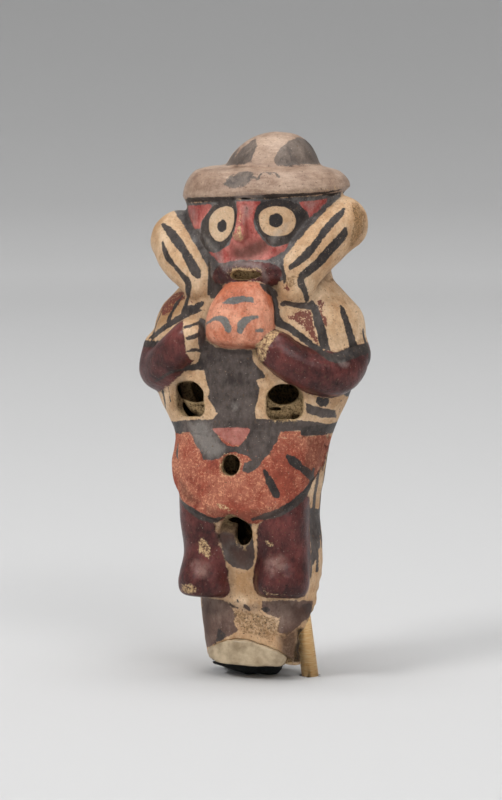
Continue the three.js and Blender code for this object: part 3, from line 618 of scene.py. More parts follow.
def add_mesh(name, points, faces):
    """A mesh object from points in the drawing's frame and faces of equally many corners."""
    mesh = bpy.data.meshes.new(name)
    corners = faces.shape[1]
    mesh.vertices.add(len(points))
    mesh.vertices.foreach_set("co", ((points + SHIFT) * MM).astype(REAL).reshape(-1))
    mesh.loops.add(faces.size)
    mesh.loops.foreach_set("vertex_index", faces.reshape(-1))
    mesh.polygons.add(len(faces))
    mesh.polygons.foreach_set("loop_start", np.arange(0, faces.size, corners, dtype=np.int32))
    mesh.update(calc_edges=True)
    mesh.validate()
    mesh.polygons.foreach_set("use_smooth", np.ones(len(mesh.polygons), bool))
    piece = bpy.data.objects.new(name, mesh)
    bpy.context.scene.collection.objects.link(piece)
    return piece


def set_value(piece, name, values):
    layer = piece.data.attributes.new(name, "FLOAT", "POINT")
    layer.data.foreach_set("value", values.astype(REAL))


figure, rimmed, solid, own, loose = build_figure()
names = list(own)
# Which node's solid is nearest to each voxel, how near it is, and how near the next one is
nearest = np.full(COUNT, 99.0, REAL)
second = nearest.copy()
owner = np.zeros(COUNT, np.int8)
for index, name in enumerate(names):
    value = own[name]
    closer = value < nearest
    second = np.where(closer, nearest, np.minimum(second, value))
    owner[closer] = index
    nearest = np.minimum(nearest, value)

# ---------------------------------------------------------------- the painter's chart
SIGHT = 26.0  # how far before and behind the chart's plane a line of sight is followed
OUTSIDE = 24.0  # how far out a mark's bearing starts


def chart_of(points):
    """The photograph's pixel that each point falls on."""
    away = points - CHART_MIDDLE
    k = CHART_AWAY / (CHART_AWAY - away @ TO_EYE)
    return CHART_AT[0] + k * (away @ TO_RIGHT) / CHART_SCALE, CHART_AT[1] - k * (away @ TO_TOP) / CHART_SCALE


def march(start, way, length, step=0.12):
    """Where rays first meet the figure's skin, and which of them do."""
    at = start.copy()
    gone = np.zeros(len(at))
    done = np.zeros(len(at), bool)
    for _ in range(int(length / step) * 2):
        value = sample(figure, at)
        done |= value < 0.03
        go = np.where(done | (gone > length), 0.0, np.clip(value * 0.7, step * 0.3, 2.0))
        at = at + way * go[:, None]
        gone = gone + go
        if np.all(go == 0):
            break
    return at, done & (gone <= length)


def onto_clay(pixels):
    """The points of the clay seen at pixels."""
    pixels = np.asarray(pixels, float)
    right = (pixels[:, 0] - CHART_AT[0]) * CHART_SCALE
    top = (CHART_AT[1] - pixels[:, 1]) * CHART_SCALE
    aim = CHART_MIDDLE + right[:, None] * TO_RIGHT + top[:, None] * TO_TOP
    eye = CHART_MIDDLE + CHART_AWAY * TO_EYE
    way = aim - eye
    way /= np.linalg.norm(way, axis=1, keepdims=True)
    return march(aim - way * SIGHT, way, 2 * SIGHT)


def round_clay(turns):
    """The points of the clay met from outside at a bearing in degrees (0 is +X, 90 the back) and a height."""
    turns = np.asarray(turns, float)
    angle = np.radians(turns[:, 0])
    way = -np.stack([np.cos(angle), np.sin(angle), 0 * angle], 1)
    axis = np.stack([along(STATIONS, 3, turns[:, 1]), along(STATIONS, 4, turns[:, 1]), turns[:, 1]], 1)
    return march(axis - way * OUTSIDE, way, OUTSIDE - 2.0)


def read_marks(text):
    """Marks from a table: a line with a layer and the pieces that it stays on, then each mark's name and points."""
    out = []
    for line in text.strip().splitlines():
        if "|" in line:
            layer, on = line.split("|")
            continue
        if ":" in line:
            out.append((layer.strip(), on.strip(), []))
            line = line.split(":")[1]
        out[-1][2].extend(tuple(float(v) for v in spot.split(",")) for spot in line.split())
    return out

# Marks read off the photograph in its pixels. Over each group stand its layer and the pieces that it stays on.
# A mark is its name, where left and right are the viewer's, and its outline, or a line's stops with the width at each.
# Painted shade and grime: the dark brown group of marks lays painted shade under and beside the nose, under the small
# head, on the loincloth, on the crotch hole's wall and between the legs, and grime on the stump, below the legs and by
# the left window
# The darkest brown group of marks paints shade into the hollow behind the post and down the crotch hole's wall
# The pale grey group of marks paints a film over the slip, and painted highlights on the nose's bridge, the mouth and
# the elbow
# The pale pink marks on the shins are painted highlights
# The warm brown group of marks paints stains, and painted shade on the outer side of the left roll and on the clay
# between the legs
AREAS = read_marks("""
dark | head lobe
field of the face: 184.2,204.1 173.8,210.1 185,228 197,247.9 207.6,267 207.8,287 225.7,288.6 284.7,280.6 283.4,258.3
289.4,250.3 305.4,232 327.7,208.1 340.5,196.9 342.1,188.1 305.4,191.3 241.6,194.5 183.4,197.7
red | head
left temple: 187.7,205.7 210.5,204.1 212.9,205.7 206.5,214.4 202.1,220 199.7,228.8 194.6,228.3 190.6,220 188.2,212
right temple: 299,202.5 327.7,198.5 323.7,208.9 314.9,218.4 303.8,230.4 302.2,224.8 309.4,218.4 307,212 301.4,207.3
red | head nose
bridge and cheeks: 236,200.9 260.7,201.2 258.3,205.7 255.2,212 252.8,221.6 256,231.2 262.3,239.1 268.7,245.5
275.1,247.4 283.1,244.7 295,240.7 289.4,247.9 276.7,255.9 265.5,259.9 241.6,259.9 219.3,263.1 208.9,251.9 219.3,251.1
228.9,245.5 232,237.6 234.4,231.2 236,221.6 237.1,212
maroon | head
round the mouth: 214.5,269.4 219.3,264.3 228.9,261.8 251.2,260.7 270.3,263.1 278.3,266.6 283.9,272.6 283.1,287.8
278.3,291.8 267.1,287 257.6,283 232,282.2 225.7,283 219.3,287 212.9,288.6 212.1,277.4
black | head
round the left eye: 235.5,202.5 236.5,215.2 235.2,226.4 231.2,237.6 225.7,245.5 219.3,251.1 214.5,253.2 206.5,250.3
200.2,240.7 201.7,221.6 206.5,214.4 212.9,205.7 222.5,201.7 232,199.6
round the right eye: 257.6,205.7 265.5,200.9 276.7,199 289.4,200.6 299,204.1 307,212 309.4,218.4 303,228 295.8,236
289.4,243.1 278.3,246.3 270.3,245.5 266.3,240.7 259.5,232.8 254.8,221.6 254.4,213.6
eye | head
left eye: 232,207.6 234,215.2 233.6,224 229.6,233.6 224.1,239.9 219.3,241.7 214.5,239.1 209.7,232 208.8,224
210.5,216.8 215.3,210.4 222.5,206.9 227.3,206
right eye: 258.5,218.4 259.9,213.6 263.9,209.2 270.3,206.8 278.3,206.5 287,208.1 293.4,213.6 295.8,220.8 293.4,228.8
287,234.4 278.3,236 268.7,235.2 262.3,230.4 259.1,224
pupil | head
left pupil: 222,219.4 225.3,220.8 226.6,225.1 225.7,229.6 222,232.3 218.6,230.9 217.4,226.4 218.6,221.6
right pupil: 275.6,213 279.9,214.4 282.7,218.4 282.3,224 278.3,227.2 273.5,227.2 269.5,224 268.7,218.4 271.1,214.4
maroon_worn | body lobe
smear on the neck: 283.1,282.9 289.4,282.9 291,290.9 287,292.5 282.3,289.3
strip | arm
sleeve, right: 274.3,289.3 275.4,303.6 278,317.2 289.4,324.4 305.4,336.8 323.7,349.1 335.7,352.3 350.8,347.5
369.2,341.9 369.2,295.7 321.3,282.9
sleeve, left: 148.3,343.5 158.7,334.2 169.9,326.3 183.4,318.3 193.8,311.6 202.5,304.4 202.5,295.7 161.9,289.3
144.3,311.6
strip | arm body held_head
hand strip: 183.4,318.8 198.6,316.9 199.2,327.6 198.1,340.3 200.5,353.1 197.8,360.2 191.4,359.8 185.8,353.4 185,340.3
182.6,327.6
charcoal | body arm
column: 198.9,317.2 204.9,318.8 205.7,340.3 216.1,347.5 232,349.9 248,347.5 252.4,351.5 253.1,361 262.3,371.9
265.5,377 256,380.2 259.5,388.1 257.9,397.7 255.2,407.3 256,420.8 212.1,420.8 216.9,413.6 207.6,397.7 209.7,391.3
206.5,383.4 203.7,370.3 197,369 200.2,353.1 197.8,340.3
smudge by the shoulder: 184,312 186,306.5 190,304.5 196,305.5 203,301.5 204.5,304.5 198,308.5 202,310 196,313
187,315.5
charcoal | head body held_head
beside the small head's crown: 258.3,282.1 268.7,285.3 283.9,294.4 274.3,297.6 267.4,294.1 261.5,287.7
haze | head hat_brim
film below the brim: 232,192.9 263.9,192.1 265.5,200.1 251.2,203.3 233.6,201.7
haze | head
film by the right eye: 295.8,236 307,221.6 318.1,212 326.1,207.3 318.1,224.8 305.4,237.6 291,253.5 283.1,258.3
286.2,247.1
film on the cheek: 266,238 274,231 284,222 292,219 288,230 280,240 270,246
film on the mouth: 216,264 226,260 244,259 262,262 266,268 270,280 264,288 260,274 250,268 236,267 222,270
film on the red corner, right: 301,201 324,199 316,208 309,214 305,210
film on the red corner, left: 188,206 196,206 199,214 198,224 193,226 189,218
haze | arm
rubbed elbow: 335.7,361 343.6,359.4 351.6,362.6 346.8,369 337.3,366.6
grains | lobe
worn side of the right roll: 349.2,199.3 359.6,201.7 367.6,213.6 366.8,231.2 356.4,245.5 345.2,253.5 348.8,236
351.9,221.6 350,208.9
worn foot of the right roll: 283.1,275.8 295.8,272.6 297.4,285.4 289.4,290.2 282.3,283.8
stain | lobe
brown side of the left roll: 150.7,231.2 151.5,220 157.9,212 166.7,209.6 164.3,221.6 159.5,231.2 160.3,247.1
153.9,243.9
brown side of the right roll: 352,204 358,206 364,218 365,232 360,244 352,251 347,248 351,236 354,222 351,212
stain | body
brown side of the belly: 167.5,399.9 169.9,383.9 177.8,377.5 176.2,391.9 177.8,407.8 171.5,412.6
clay between the legs: 227,560 232,566 240,569 250,569 257,566 259,590 256,597 234,597 228,590
pits | body
pitted stump: 232.1,602.7 258.6,602.7 277.6,615.9 280.6,632 273.2,644.5 252.7,640.8 236.5,636.4 232.1,617.4
crumbled edge of the right window: 262,408 300,404 306,408 304,418 262,420
crumbled edge of the left window: 168,384 175,384 178,402 196,414 190,420 172,412
grains | body
rough stump, lower right: 276.2,632 290.8,629.1 298.2,632 298.2,662.8 285,662.8 282,648.2
grains of the stump: 232,606 262,612 280,618 282,634 270,642 240,634 232,620
bare | apron
worn spot at the hem: 212.9,503.5 222.5,501.9 233.6,506.7 232,513.1 219.3,511.5
bare | leg
worn thigh, right: 263.1,538.6 273.5,540.2 275.9,547.3 268.7,548.1 263.9,543.4
worn thigh, left: 197,538 204,536 208,541 212,546 212,558 208,562 203,556 196.5,553
worn toe: 180,583 186,582 196,584 200,588 196,594 186,596 180,592
worn foot, right: 262,588 272,592 286,593 286,597 268,597 261,593
black | body
dot: 322.1,393.5 327.7,395.9 329.3,401.5 326.1,406.6 320.5,406.6 315.7,401.8 316.5,395.9
charcoal | body
cloud by the dot: 304.6,401.8 311.8,405.4 321.3,407.8 334.9,409.7 337,417.7 321.3,417.7 307,412.9
dark side above the foot: 309.2,508.8 321.6,508.8 320.2,544 317.2,558.7 312.1,566 308.4,561.6 309.2,536.7
stump dark triangle: 214.3,644.5 218.7,628.4 226.6,635.3 221.6,640.1
stump spot 1: 261.5,607.8 267.4,606.8 270.3,610 267.4,613 262.7,612.7
stump spot 2: 301.8,604.9 311.4,603.4 311.4,611.5 306.2,614.1 303.3,610
between the legs: 216,536 224,532 228,520 238,516 251,520 253.5,545 255,556 253,566 247,570.5 240,568 232,567 225,560
221,550
mauve | body
stump, left: 202.1,596.8 227.7,601.2 232.4,608.6 236.8,614.7 233.6,621.8 238.3,629.1 232.1,635.7 220.4,640.1
208.7,647.4 199.9,646.7
stump, right: 261.2,601.2 296.7,600 312.8,601.2 310.6,615.9 296.7,627.9 286.7,635.7 277.3,632 279.4,617.4 267.4,614.7
261.5,610.3
smoke | hat_crown
crown patch, left: 228.5,165.5 232,160.7 241.6,148.3 251.2,141.1 255.6,138.7 257.1,145.9 253.1,154.6 250.9,161.3
244.8,164.2
crown patch, right: 274.3,157.8 281.5,147 291,139.8 299,137.1 307,140.3 313.7,149.9 319.4,165.8 289.4,166.6
278.3,166.1 274.3,161.8
smoke | hat_brim
lens on the brim: 223.8,184.1 228.9,177.3 238.4,172.5 248,171.2 253.1,175.1 248.8,182.1 241.6,186.1 232,187.6
apron_red | body
top of the loincloth: 165,431.5 190,431 250,430 280,431 306,431 329,433 334,440 334,452 165,450
charcoal | body apron
belt: 168,422 186,420 212,419 250,418.5 290,419.5 318,422 332,425 335,434 327,432.5 315,433 300,431 279.5,431.5
250,431 212,429 190,432 168,433
sides of the v, left: 189,429 214,428 219,437 225,444 232,446.5 240,446 243,449 237,452 229,452.5 223,455 219,458.5
211,460.5 203,459.5 200,451 194,441
v, right: 250,428 281,429 277,441 270,452 263,461 257,468.5 248,473.5 242,471 244,463 252,460 247,456 238,453.5
233,449 240,445 246,438
black | body apron
ends of the belt: 168,422.5 181,421.5 184,426 180,431.5 168,431.5
panel | body apron
panel above the hole: 212,428.5 231,427.5 250,428 249,433 245,439 240,445 232,445.5 224,441 217,434
spot in the belt: 303,429 312,427 312,430 306,432
haze | head nose
rubbed bridge: 242,204 256,204 253,211 247,221 242,226 240,220
bare | nose head
worn tip of the nose: 234.5,227 238,223 242,224 244,232 245,240 243,243.8 238,243.5 234,239
maroon_worn | body arm
left shoulder: 159,309 163,300 168,294 176,291 185,288 189,290 186,299 180,306 173,312 166,318 160,316
maroon_worn | body held_head
smear by the chin: 191,297 197,290 201,282 205,284 202,292 196,302 190,304
maroon_worn | body
patch on the shoulder: 284,319 290,313 299,309 313,308 314,320 317,334 322,346 315,346 308,336 301,328 293,322
smear on the shoulder: 315,299 323,298 326,303 323,312 329,318 328,328 323,329 319,318 317,309
stain | body arm
golden shoulder, left: 150,336 156,318 165,301 176,291 187,288 186,306 184,314 168,324
bare | held_head body arm
worn clay by the hand: 266,331 273,327.5 282,328.5 285,332.5 279,336 276,341 270,348 268.5,355 265.5,362 261.5,367
257,366 255.5,360.5 250.5,356 250,351 253,347.5 252.5,344 259,339.5 262.5,335
ash | held_head
mouth of the small head: 222.5,303.5 228,298 240,295.5 252,297.5 255,303 244,302 233,304
charcoal | head body
beside the small head, left: 208,282 212,276 215,284 224,283 226,287 221,293 217,299 211,299 208,291
soot | body
hollow behind the post: 296.5,628 303,628 303,662 293,662 294,650 297,640
right of the crotch hole's wall: 235,515 243,513 246,522 246,538 240,541 235,535 237,525
grains | leg
worn hem of the foot, left: 180,592 200,594 215,596 214,600 190,600 180,597
rubbed | leg
rubbed shin, left: 187,561 196,558 209,558 213,563 213.5,571 208,577.5 199,581 191,575
rubbed shin, right: 263,560 270,554 281,552 291,558 289,568 279,575 270,580 264,572
haze | head lobe
pale rim of the face, left: 200,232 208,236 214,240 220,246 224,256 230,276 222,272 212,256 204,244
shade | nose head
right of the nose: 243.5,224 247,224 249,236 247,242 244,243 245,235
shade | body
brown stump, right: 276,636 290,628 300,622 300,664 280,664 277,650
patch between the legs: 226,541 240,546 252,545 257,550 253,566 246,569 236,567 229,556
left of the clay between the legs: 228,566 232,569 233,580 232,596 228,597 226,585
side of the left window: 172,380 184,378 190,384 186,398 188,410 178,412 172,400
grime on the stump, left: 201,596 210,600 214,612 212,630 206,644 200,646
grime on the stump, right: 288,604 312,600 312,616 300,626 290,620
grime below the legs: 222,600 240,604 258,603 262,608 254,613 238,611 224,608
bare | body
drip below the hole: 238,543 246,543 249,548 246,556 242,552 240,546
haze | body apron
film on the belt: 187,421 200,419 212,420 213,429 219,438 228,448 223,457 208,462 199,452 188,432
film on the column: 231,402 236,399 239,403 239,409 234,412 230,408
pits | apron
cracks along the hem: 181,489 190,501 204,510 222,516 240,519 256,519 270,516 281,509 284,515 272,521 252,525 230,524
208,519 190,508 180,498
shade | apron
dark hem: 205,505 222,511 240,512 258,510 272,506 281,503 281,514 262,520 240,523 220,520 205,515
dark lower left: 180,480 190,492 200,500 200,508 188,504 180,494
darker right of the loincloth: 306,434 328,432 326,458 316,476 306,484 302,466 306,450
pits | lobe
pitted side of the right roll: 344,199 352,201 360,208 364,218 361,230 354,232 352,218 346,208
shade | head nose
under the nose: 232,243 244,244 252,239 264,236 272,238 271,249 264,257 250,262 236,262 228,256
shade | body leg
wall of the crotch hole: 212,518 224,513 236,511 243,516 244,536 236,542 226,547 216,546
shade | held_head
brown underside of the small head: 204,334 214,341 232,345 252,345 262,340 266,332 268,340 262,348 240,351 216,348
205,342
""")
LINES = read_marks("""
black | head hat_brim
line below the brim: 183.4,201.2,4.8 193.8,200.1,6.7 206.5,199.6,6.7 225.7,199.3,7.2 235.2,198.5,3.2
line below the brim, right: 257.6,198,3.2 267.1,196.9,7.2 281.5,196.1,6.7 305.4,194.5,5.1 326.1,192.6,4.1
341.3,189.7,2.2
smoke | head hat_brim
faded line below the brim: 232,198,4.1 248,197.1,5.4 262.3,196.7,4.8
black | lobe
upper stripe, left roll: 162.4,224.2,3.5 169.9,231.5,8.3 177.8,242.3,9.6 185,251.9,8.3 189.8,261.5,9.9 195.1,270.7,9.9
198.2,275,6.4
upper stripe, right roll: 344,208.9,2.6 338.9,215.2,6.7 329.3,225.1,8 319.7,237.6,7 310.2,250.3,8 301.4,259.1,7.7
290.2,267.4,4.8
black | lobe body head
lower stripe, left roll, and on to the shoulder: 162.4,242.3,2.6 164.3,250.3,7 167.9,258.3,7.3 175.4,267,4.5
182.6,275.8,5.4 187.4,283,7.3 187.7,293.4,5.4
lower stripe, right roll, and on to the shoulder: 345.2,228.8,3.5 342.9,236,9.6 330.9,248.7,10.5 319.7,261.5,9.9
308.6,271,8.3 301.4,277.4,7.2 301.6,285.4,6.4 305.1,291.8,5.7 307.3,299.7,5.7
black | lobe head body
edge of the left roll: 209.2,263.1,3.8 209.7,274.2,4.1 209.7,285.4,4.1 209.2,293.4,4.1
edge of the right roll: 282.3,267,3.2 284.3,275.8,4.1 283.9,282.2,3.2
black | body
neck to shoulder: 301.9,286.1,5.4 306.2,294.9,5.4 311,303.6,6.4 315.7,311.6,8 318.9,322.8,9.2 322.6,337.1,9.6
326.9,353.9,9.9
strokes by the left window: 160.3,383.9,2.6 163.8,396.7,4.1 165.4,407.8,2.9
second stroke by the window: 168.3,387.9,1.6 170.2,400.7,2.6
specks 1: 227.7,601.2,1.5 232.1,605.9,2.9 237.7,607.8,2.6
specks 2: 243.9,604.9,1.5 247.1,607.8,4.1 250.3,610.3,2.1
specks 3: 237.3,600.5,2.1 237.7,602,2.1
black | body arm
shoulder: 341.3,306.5,4.1 345.2,318,7 350,333.9,8.6 353.5,346.7,10.5
hem, left: 149.9,341.9,3.2 158.7,332.7,4.5 169.9,324.7,5.4 182.6,316.7,7 193,310,8.8 201.7,303.6,5.4
shoulder stroke, left: 181.3,297.6,2.2 176.2,304,5.4 172.1,312.2,3.8 168.3,322.4,3.2
shoulder edge, left: 164.8,304.4,1.9 157.4,321.2,3.8 152,337.9,3.2
below the left arm: 156.3,381,2.9 170.7,372.5,3.8 184.2,369,4.1 200.2,365.8,8.9
shoulder stroke 2, left: 182,296,2 176,305,3.5 171,313,3.5 167,321,3.5
shoulder edge 2, left: 163,305,1.5 157,317,3 151.5,331,3.5
hem 2, left: 150,337.5,4 160,330,5 170,322.5,5 179,317.5,5.5 186,314,5.5
black | body arm held_head
hem, right: 274,295.7,4.1 275.9,310,6.7 278.3,322,8.3 289.4,328,7.3 305.4,340.3,6.7 322.9,353.4,8.6 335.7,357.8,11.8
350,353.4,12.8 366,348.3,10.5
black | body lobe
neck, left: 187.4,279.7,5.7 188.4,292.5,4.8 186.1,302.8,5.4 183.4,312.4,7
neck 2, left: 186.5,280,5 189,288,5 187.5,297,4.5 185,306,4.5 184,313,4.5
black | arm body held_head
hand 1: 184.5,327.1,3.5 193.8,324.4,4.1 203.7,321.2,4.5
hand 2: 187.4,338.4,3.2 193.8,336.8,4.8 199.4,334.4,3.2
hand 3: 187.1,351.5,2.9 193.8,349.9,4.1 201,350.7,3.8
black | apron body leg
dash 1: 287.5,456.5,4.1 294.2,462,9.6 302.2,468.4,7.3 310.2,475.1,8.8 313.4,478.8,4.8
dash 2: 264.9,471.6,3.8 270.3,482.8,8 276.4,494.7,7.7
charcoal | apron leg body
mark at the side: 177.8,444.5,2.6 177,454.1,4.8 177.8,458.9,2.2
black | apron leg body
edge of the loincloth, left: 180.7,500.6,2.9 185.8,505.9,6.4 195.4,512.7,8 206.5,518.2,7.7 216.1,519.9,6.4
227.3,517,1.9
edge of the loincloth, right: 252.8,519.1,3.2 268.7,515.9,7.3 283.1,510.2,8.3 297.4,500.6,8.9 307.3,489.5,8.9
311.8,478,6.7 313.4,470,4.8
charcoal | body apron
side line: 341.3,400.7,1.6 337.3,422.2,1.9 332.5,434.9,1.9 326.9,452.5,2.2 322.9,470,2.2
smoke | hat_crown hat_brim
foot of the crown: 224.1,165,1.3 240,163.4,1.3 251.2,161.8,1
foot of the crown, right: 287,166.1,1.3 305.4,165.5,1.6 319.7,164.8,1.3
smoke | hat_brim
outline of the lens: 223.8,184.1,1.3 228.9,177.3,1.4 238.4,172.5,1.4 248,171.2,1.4 253.1,175.1,1.3 248.8,182.1,1.4
241.6,186.1,1.4 232,187.6,1.4 224.4,184.6,1.3
wave on the brim: 253.1,176.6,1.9 257.6,178.9,2.2 260.4,174.6,1.9 264.7,171.9,1.9 269.5,173.5,2.2 274.3,172.5,1.9
278.6,176.3,3.2
ash | held_head
eye 1: 206.2,323.6,2.5 214.5,318.8,4 222.5,319.9,7 227,326,8.5 228,330,6
eye 2: 240,331,6 242,324.4,8.8 248,319.1,6.8 257,317,2.5
eye 3: 256,331,2.5 261.5,330.4,4.5
charcoal | body arm lobe head
collar: 282,304.6,4 287,303.5,6.5 297,305,7 308,306,7 316,307,5
""")
# Marks that run on round the sides and the back: bearing in degrees, height, and for a line its width in mm
ROUND_AREAS = read_marks("""
black | head body
dark hair down the back of the head: 14,89 166,89 158,78 146,70 138,62 42,62 34,70 22,78
smoke | hat_crown
crown patch: 2,96.6 36,97.2 30,100 20,101.6 8,100
crown patch: 66,97 104,96.6 98,100 88,101.4 74,100
crown patch: 134,96.2 168,96 162,99.4 152,101 142,99.4
crown patch: 198,95.8 226,95.8 222,98.6 212,100 202,98.6
smoke | hat_brim
lens: 18,94.2 24,95.4 32,95.6 38,94.4 30,93.2 22,93
lens: 82,93.4 88,94.6 96,94.8 102,93.6 94,92.4 86,92.2
lens: 144,92.6 150,93.8 158,94 164,92.8 156,91.6 148,91.4
panel | body
panel of the loincloth behind: 66,45.6 114,45.6 110,37 100,33 80,33 70,37
strip | arm
sleeve: 8,62.4 40,61.8 62,61.6 62,74 8,74
sleeve: 118,61.8 150,62.2 204,63.2 204,74 118,74
""")
ROUND_LINES = read_marks("""
black | head hat_brim
line below the brim: -24,91.2,0.7 0,91.2,0.9 45,91,1 90,90.3,1 135,89.8,1 180,89.2,0.9 200,89.2,0.7
black | body apron
belt: -30,47.6,1.9 0,47.6,2.3 45,47.8,2.4 90,48,2.4 135,47.8,2.4 180,47.4,2.3 214,47.2,1.8
black | body
the loincloth's edge behind: 64,45.6,0.8 68,37,0.9 79,32.6,0.9 101,32.6,0.9 112,37,0.9 116,45.6,0.8
charcoal | body
stroke down the right side: -24,38,0.7 -21,30,1.1 -20,20,1.2
stroke down the right side: -10,42,0.9 -8,32,1.3 -9,21,1.1
stroke down the right side: 6,44,0.8 7,34,1.2 5,25,0.9
stroke down the left side: 186,44,0.8 187,34,1.2 188,22,1
stroke down the left side: 200,42,0.9 199,32,1.2 201,22,1
black | body arm
hem or edge of the shirt: 12,61.8,1.7 40,61.4,1.5 70,61.2,1.4 110,61.2,1.4 140,61.6,1.5 170,62.3,1.5 202,62.9,1.5
hem or edge of the shirt: -2,66,0.8 0,60,1.3 2,55,1.5
hem or edge of the shirt: 22,66.5,0.9 24,60,1.3 26,53,1.2
hem or edge of the shirt: 182,66,0.8 180,60,1.3 178,55,1.5
hem or edge of the shirt: 158,66.5,0.9 156,60,1.3 154,53,1.2
hem or edge of the shirt: -6,54.6,1.6 26,53,1.4 60,52.4,1.2 90,52.2,1.2 120,52.4,1.2 154,53,1.4 186,54.6,1.6
""")

WHERE = {
    "body": ["body_shell", *INNER],
    "head": ["head_shell", "nose"],
    "lobe": ["left_headcloth_lobe", "right_headcloth_lobe"],
    "arm": ["left_arm", "right_arm"],
    "leg": ["left_leg", "right_leg"],
}
SMOOTH_LAYERS = ("eye", "pupil")
CREAM = (176, 136, 97), (203, 166, 128), (220, 191, 158)
# The slips in the order in which they lie: dark, middle and light tone, and roughness
SLIPS = {
    "orange": ((158, 82, 54), (198, 114, 82), (230, 166, 136), 0.5),
    "apron_red": ((132, 60, 46), (164, 82, 62), (190, 118, 94), 0.85),
    "buff": ((134, 106, 88), (166, 139, 119), (198, 172, 151), 0.45),
    "dark": ((52, 47, 46), (78, 72, 70), (134, 129, 125), 0.45),
    "maroon": ((43, 16, 15), (67, 28, 26), (112, 57, 53), 0.31),
    "red": ((128, 44, 38), (170, 74, 66), (212, 134, 122), 0.42),
    "strip": (*CREAM, 0.6),
    "mauve": ((86, 62, 54), (112, 88, 76), (138, 116, 104), 0.55),
    "charcoal": ((46, 37, 34), (68, 57, 53), (104, 93, 87), 0.45),
    "smoke": ((78, 68, 62), (104, 92, 84), (140, 124, 112), 0.45),
    "panel": ((142, 74, 62), (168, 96, 84), (192, 132, 120), 0.5),
    "black": ((34, 28, 26), (50, 42, 39), (84, 75, 70), 0.45),
    "ash": ((84, 80, 78), (106, 103, 99), (132, 128, 122), 0.5),
    "eye": ((190, 152, 114), (209, 175, 140), (218, 190, 158), 0.6),
    "pupil": ((34, 30, 30), (48, 42, 42), (64, 58, 57), 0.45),
}
CHIPPED = ("black", "charcoal", "red", "smoke", "dark")
EDGE_WOBBLE = {"eye": 0.5, "pupil": 0.6, "mauve": 1.8}  # where a slip's edge isn't as uneven as elsewhere
PATCHES = ("maroon_worn", "haze", "stain", "shade", "rubbed", "grains", "pits", "bare", "inside", "soot")
WHOLE_PIECES = {
    "orange": "held_head",
    "apron_red": "apron",
    "buff": "hat_brim hat_crown",
    "maroon": "arm leg",
    "inside": " ".join(INNER),
}
ROUND_HALF = 13.0  # millimetres from the axis at which bearings are laid out flat
CHART_EDGE = 0.10  # how far the clay has to face the photographer for a mark of the chart to lie on it
# A mark is only worked out this near to it, and for so many points at once
NEAR_PIXELS = 8
NEAR = 2.5
AT_ONCE = 20000


def carry_lines():
    """Every line of paint as points on the clay with half widths: (layer, where, points, halves)."""
    out = []
    for lines, steps, carry, scale in ((LINES, 8, onto_clay, CHART_SCALE), (ROUND_LINES, 16, round_clay, 1.0)):
        for layer, on, stops in lines:
            line = spline(stops, steps) if len(stops) > 1 else np.array(stops)
            at, met = carry(line[:, :2])
            out.append((layer, on, at[met], line[met, 2] * scale / 2))
    return out


carried = carry_lines()


def paint_at(points):
    """How far each point is from each layer of paint, less than nothing where it is painted."""
    layers = {layer: np.full(len(points), FAR, float) for layer in (*SLIPS, *PATCHES)}
    px, py = chart_of(points)
    # More than nothing where the photograph doesn't show the clay
    beyond = (CHART_EDGE - slope_at(figure, points) @ TO_EYE) * 4.0
    solids = np.stack([sample(own[name], points) for name in names], 1)

    limits = {}

    def limit(on):
        """How far each point is from the pieces that are named, less than nothing on them."""
        if on not in limits:
            chosen = [name for word in on.split() for name in WHERE.get(word, [word])]
            mine = np.array([name in chosen for name in names])
            limits[on] = (solids[:, mine].min(1) - solids[:, ~mine].min(1)) / 2
        return limits[on]

    def put(layer, values, chosen=slice(None)):
        layers[layer][chosen] = np.minimum(layers[layer][chosen], values)

    for layer, on in WHOLE_PIECES.items():
        put(layer, limit(on))
    for layer, on, outline in AREAS:
        edge = np.array(outline)
        near = (px > edge[:, 0].min() - NEAR_PIXELS) & (px < edge[:, 0].max() + NEAR_PIXELS) & (beyond < 1)
        near &= (py > edge[:, 1].min() - NEAR_PIXELS) & (py < edge[:, 1].max() + NEAR_PIXELS)
        if layer in SMOOTH_LAYERS:
            ring = np.vstack([edge[-2:], edge, edge[:2]])
            edge = spline(ring, 4)[8:-9]
        gap = outline_distance(px[near], py[near], edge) * CHART_SCALE
        put(layer, np.maximum(np.maximum(gap, beyond[near]), limit(on)[near]), near)
    height = before_tilt(points[:, 0], points[:, 2])
    mid_x, mid_y = along(STATIONS, 3, height), along(STATIONS, 4, height)
    bearing = np.degrees(np.arctan2(points[:, 1] - mid_y, points[:, 0] - mid_x))
    bearing = np.where(bearing < -90, bearing + 360, bearing)
    girth = math.radians(1) * ROUND_HALF
    for layer, on, outline in ROUND_AREAS:
        gap = outline_distance(bearing * girth, points[:, 2], np.array(outline) * (girth, 1))
        put(layer, np.maximum(gap, limit(on)))
    for layer, on, at, halves in carried:
        if not len(at):
            continue
        index = np.flatnonzero(np.all((points > at.min(0) - NEAR) & (points < at.max(0) + NEAR), axis=1))
        for start in range(0, len(index), AT_ONCE):
            some = index[start : start + AT_ONCE]
            gap = np.full(len(some), FAR, float)
            for spot, half in zip(at, halves):
                gap = np.minimum(gap, np.sqrt(((points[some] - spot) ** 2).sum(1)) - half)
            put(layer, np.maximum(gap, limit(on)[some]), some)
    return layers


# Sharp ridges wear first, and hollows and creases get painted shade
worn_field = blurred(rimmed, 0.5)
deep_field = blurred(solid, 2.0)


def fired(name, field):
    """A piece from a field's skin, and its points."""
    points, faces = surface(field)
    return add_mesh(f"{name}_fired", points, faces), points


pieces = {}
for index, name in enumerate(names):
    others = np.where(owner == index, second, nearest)
    share = np.maximum(figure, (own[name] - others) / 2 - REAL(LAP))
    piece, points = fired(name, share)
    for layer, values in paint_at(points).items():
        set_value(piece, layer, np.clip(values, -3, 3))
    set_value(piece, "ridge", sample(worn_field, points))
    set_value(piece, "deep", sample(deep_field, points))
    set_value(piece, "within", sample(solid, points))
    pieces[name] = piece


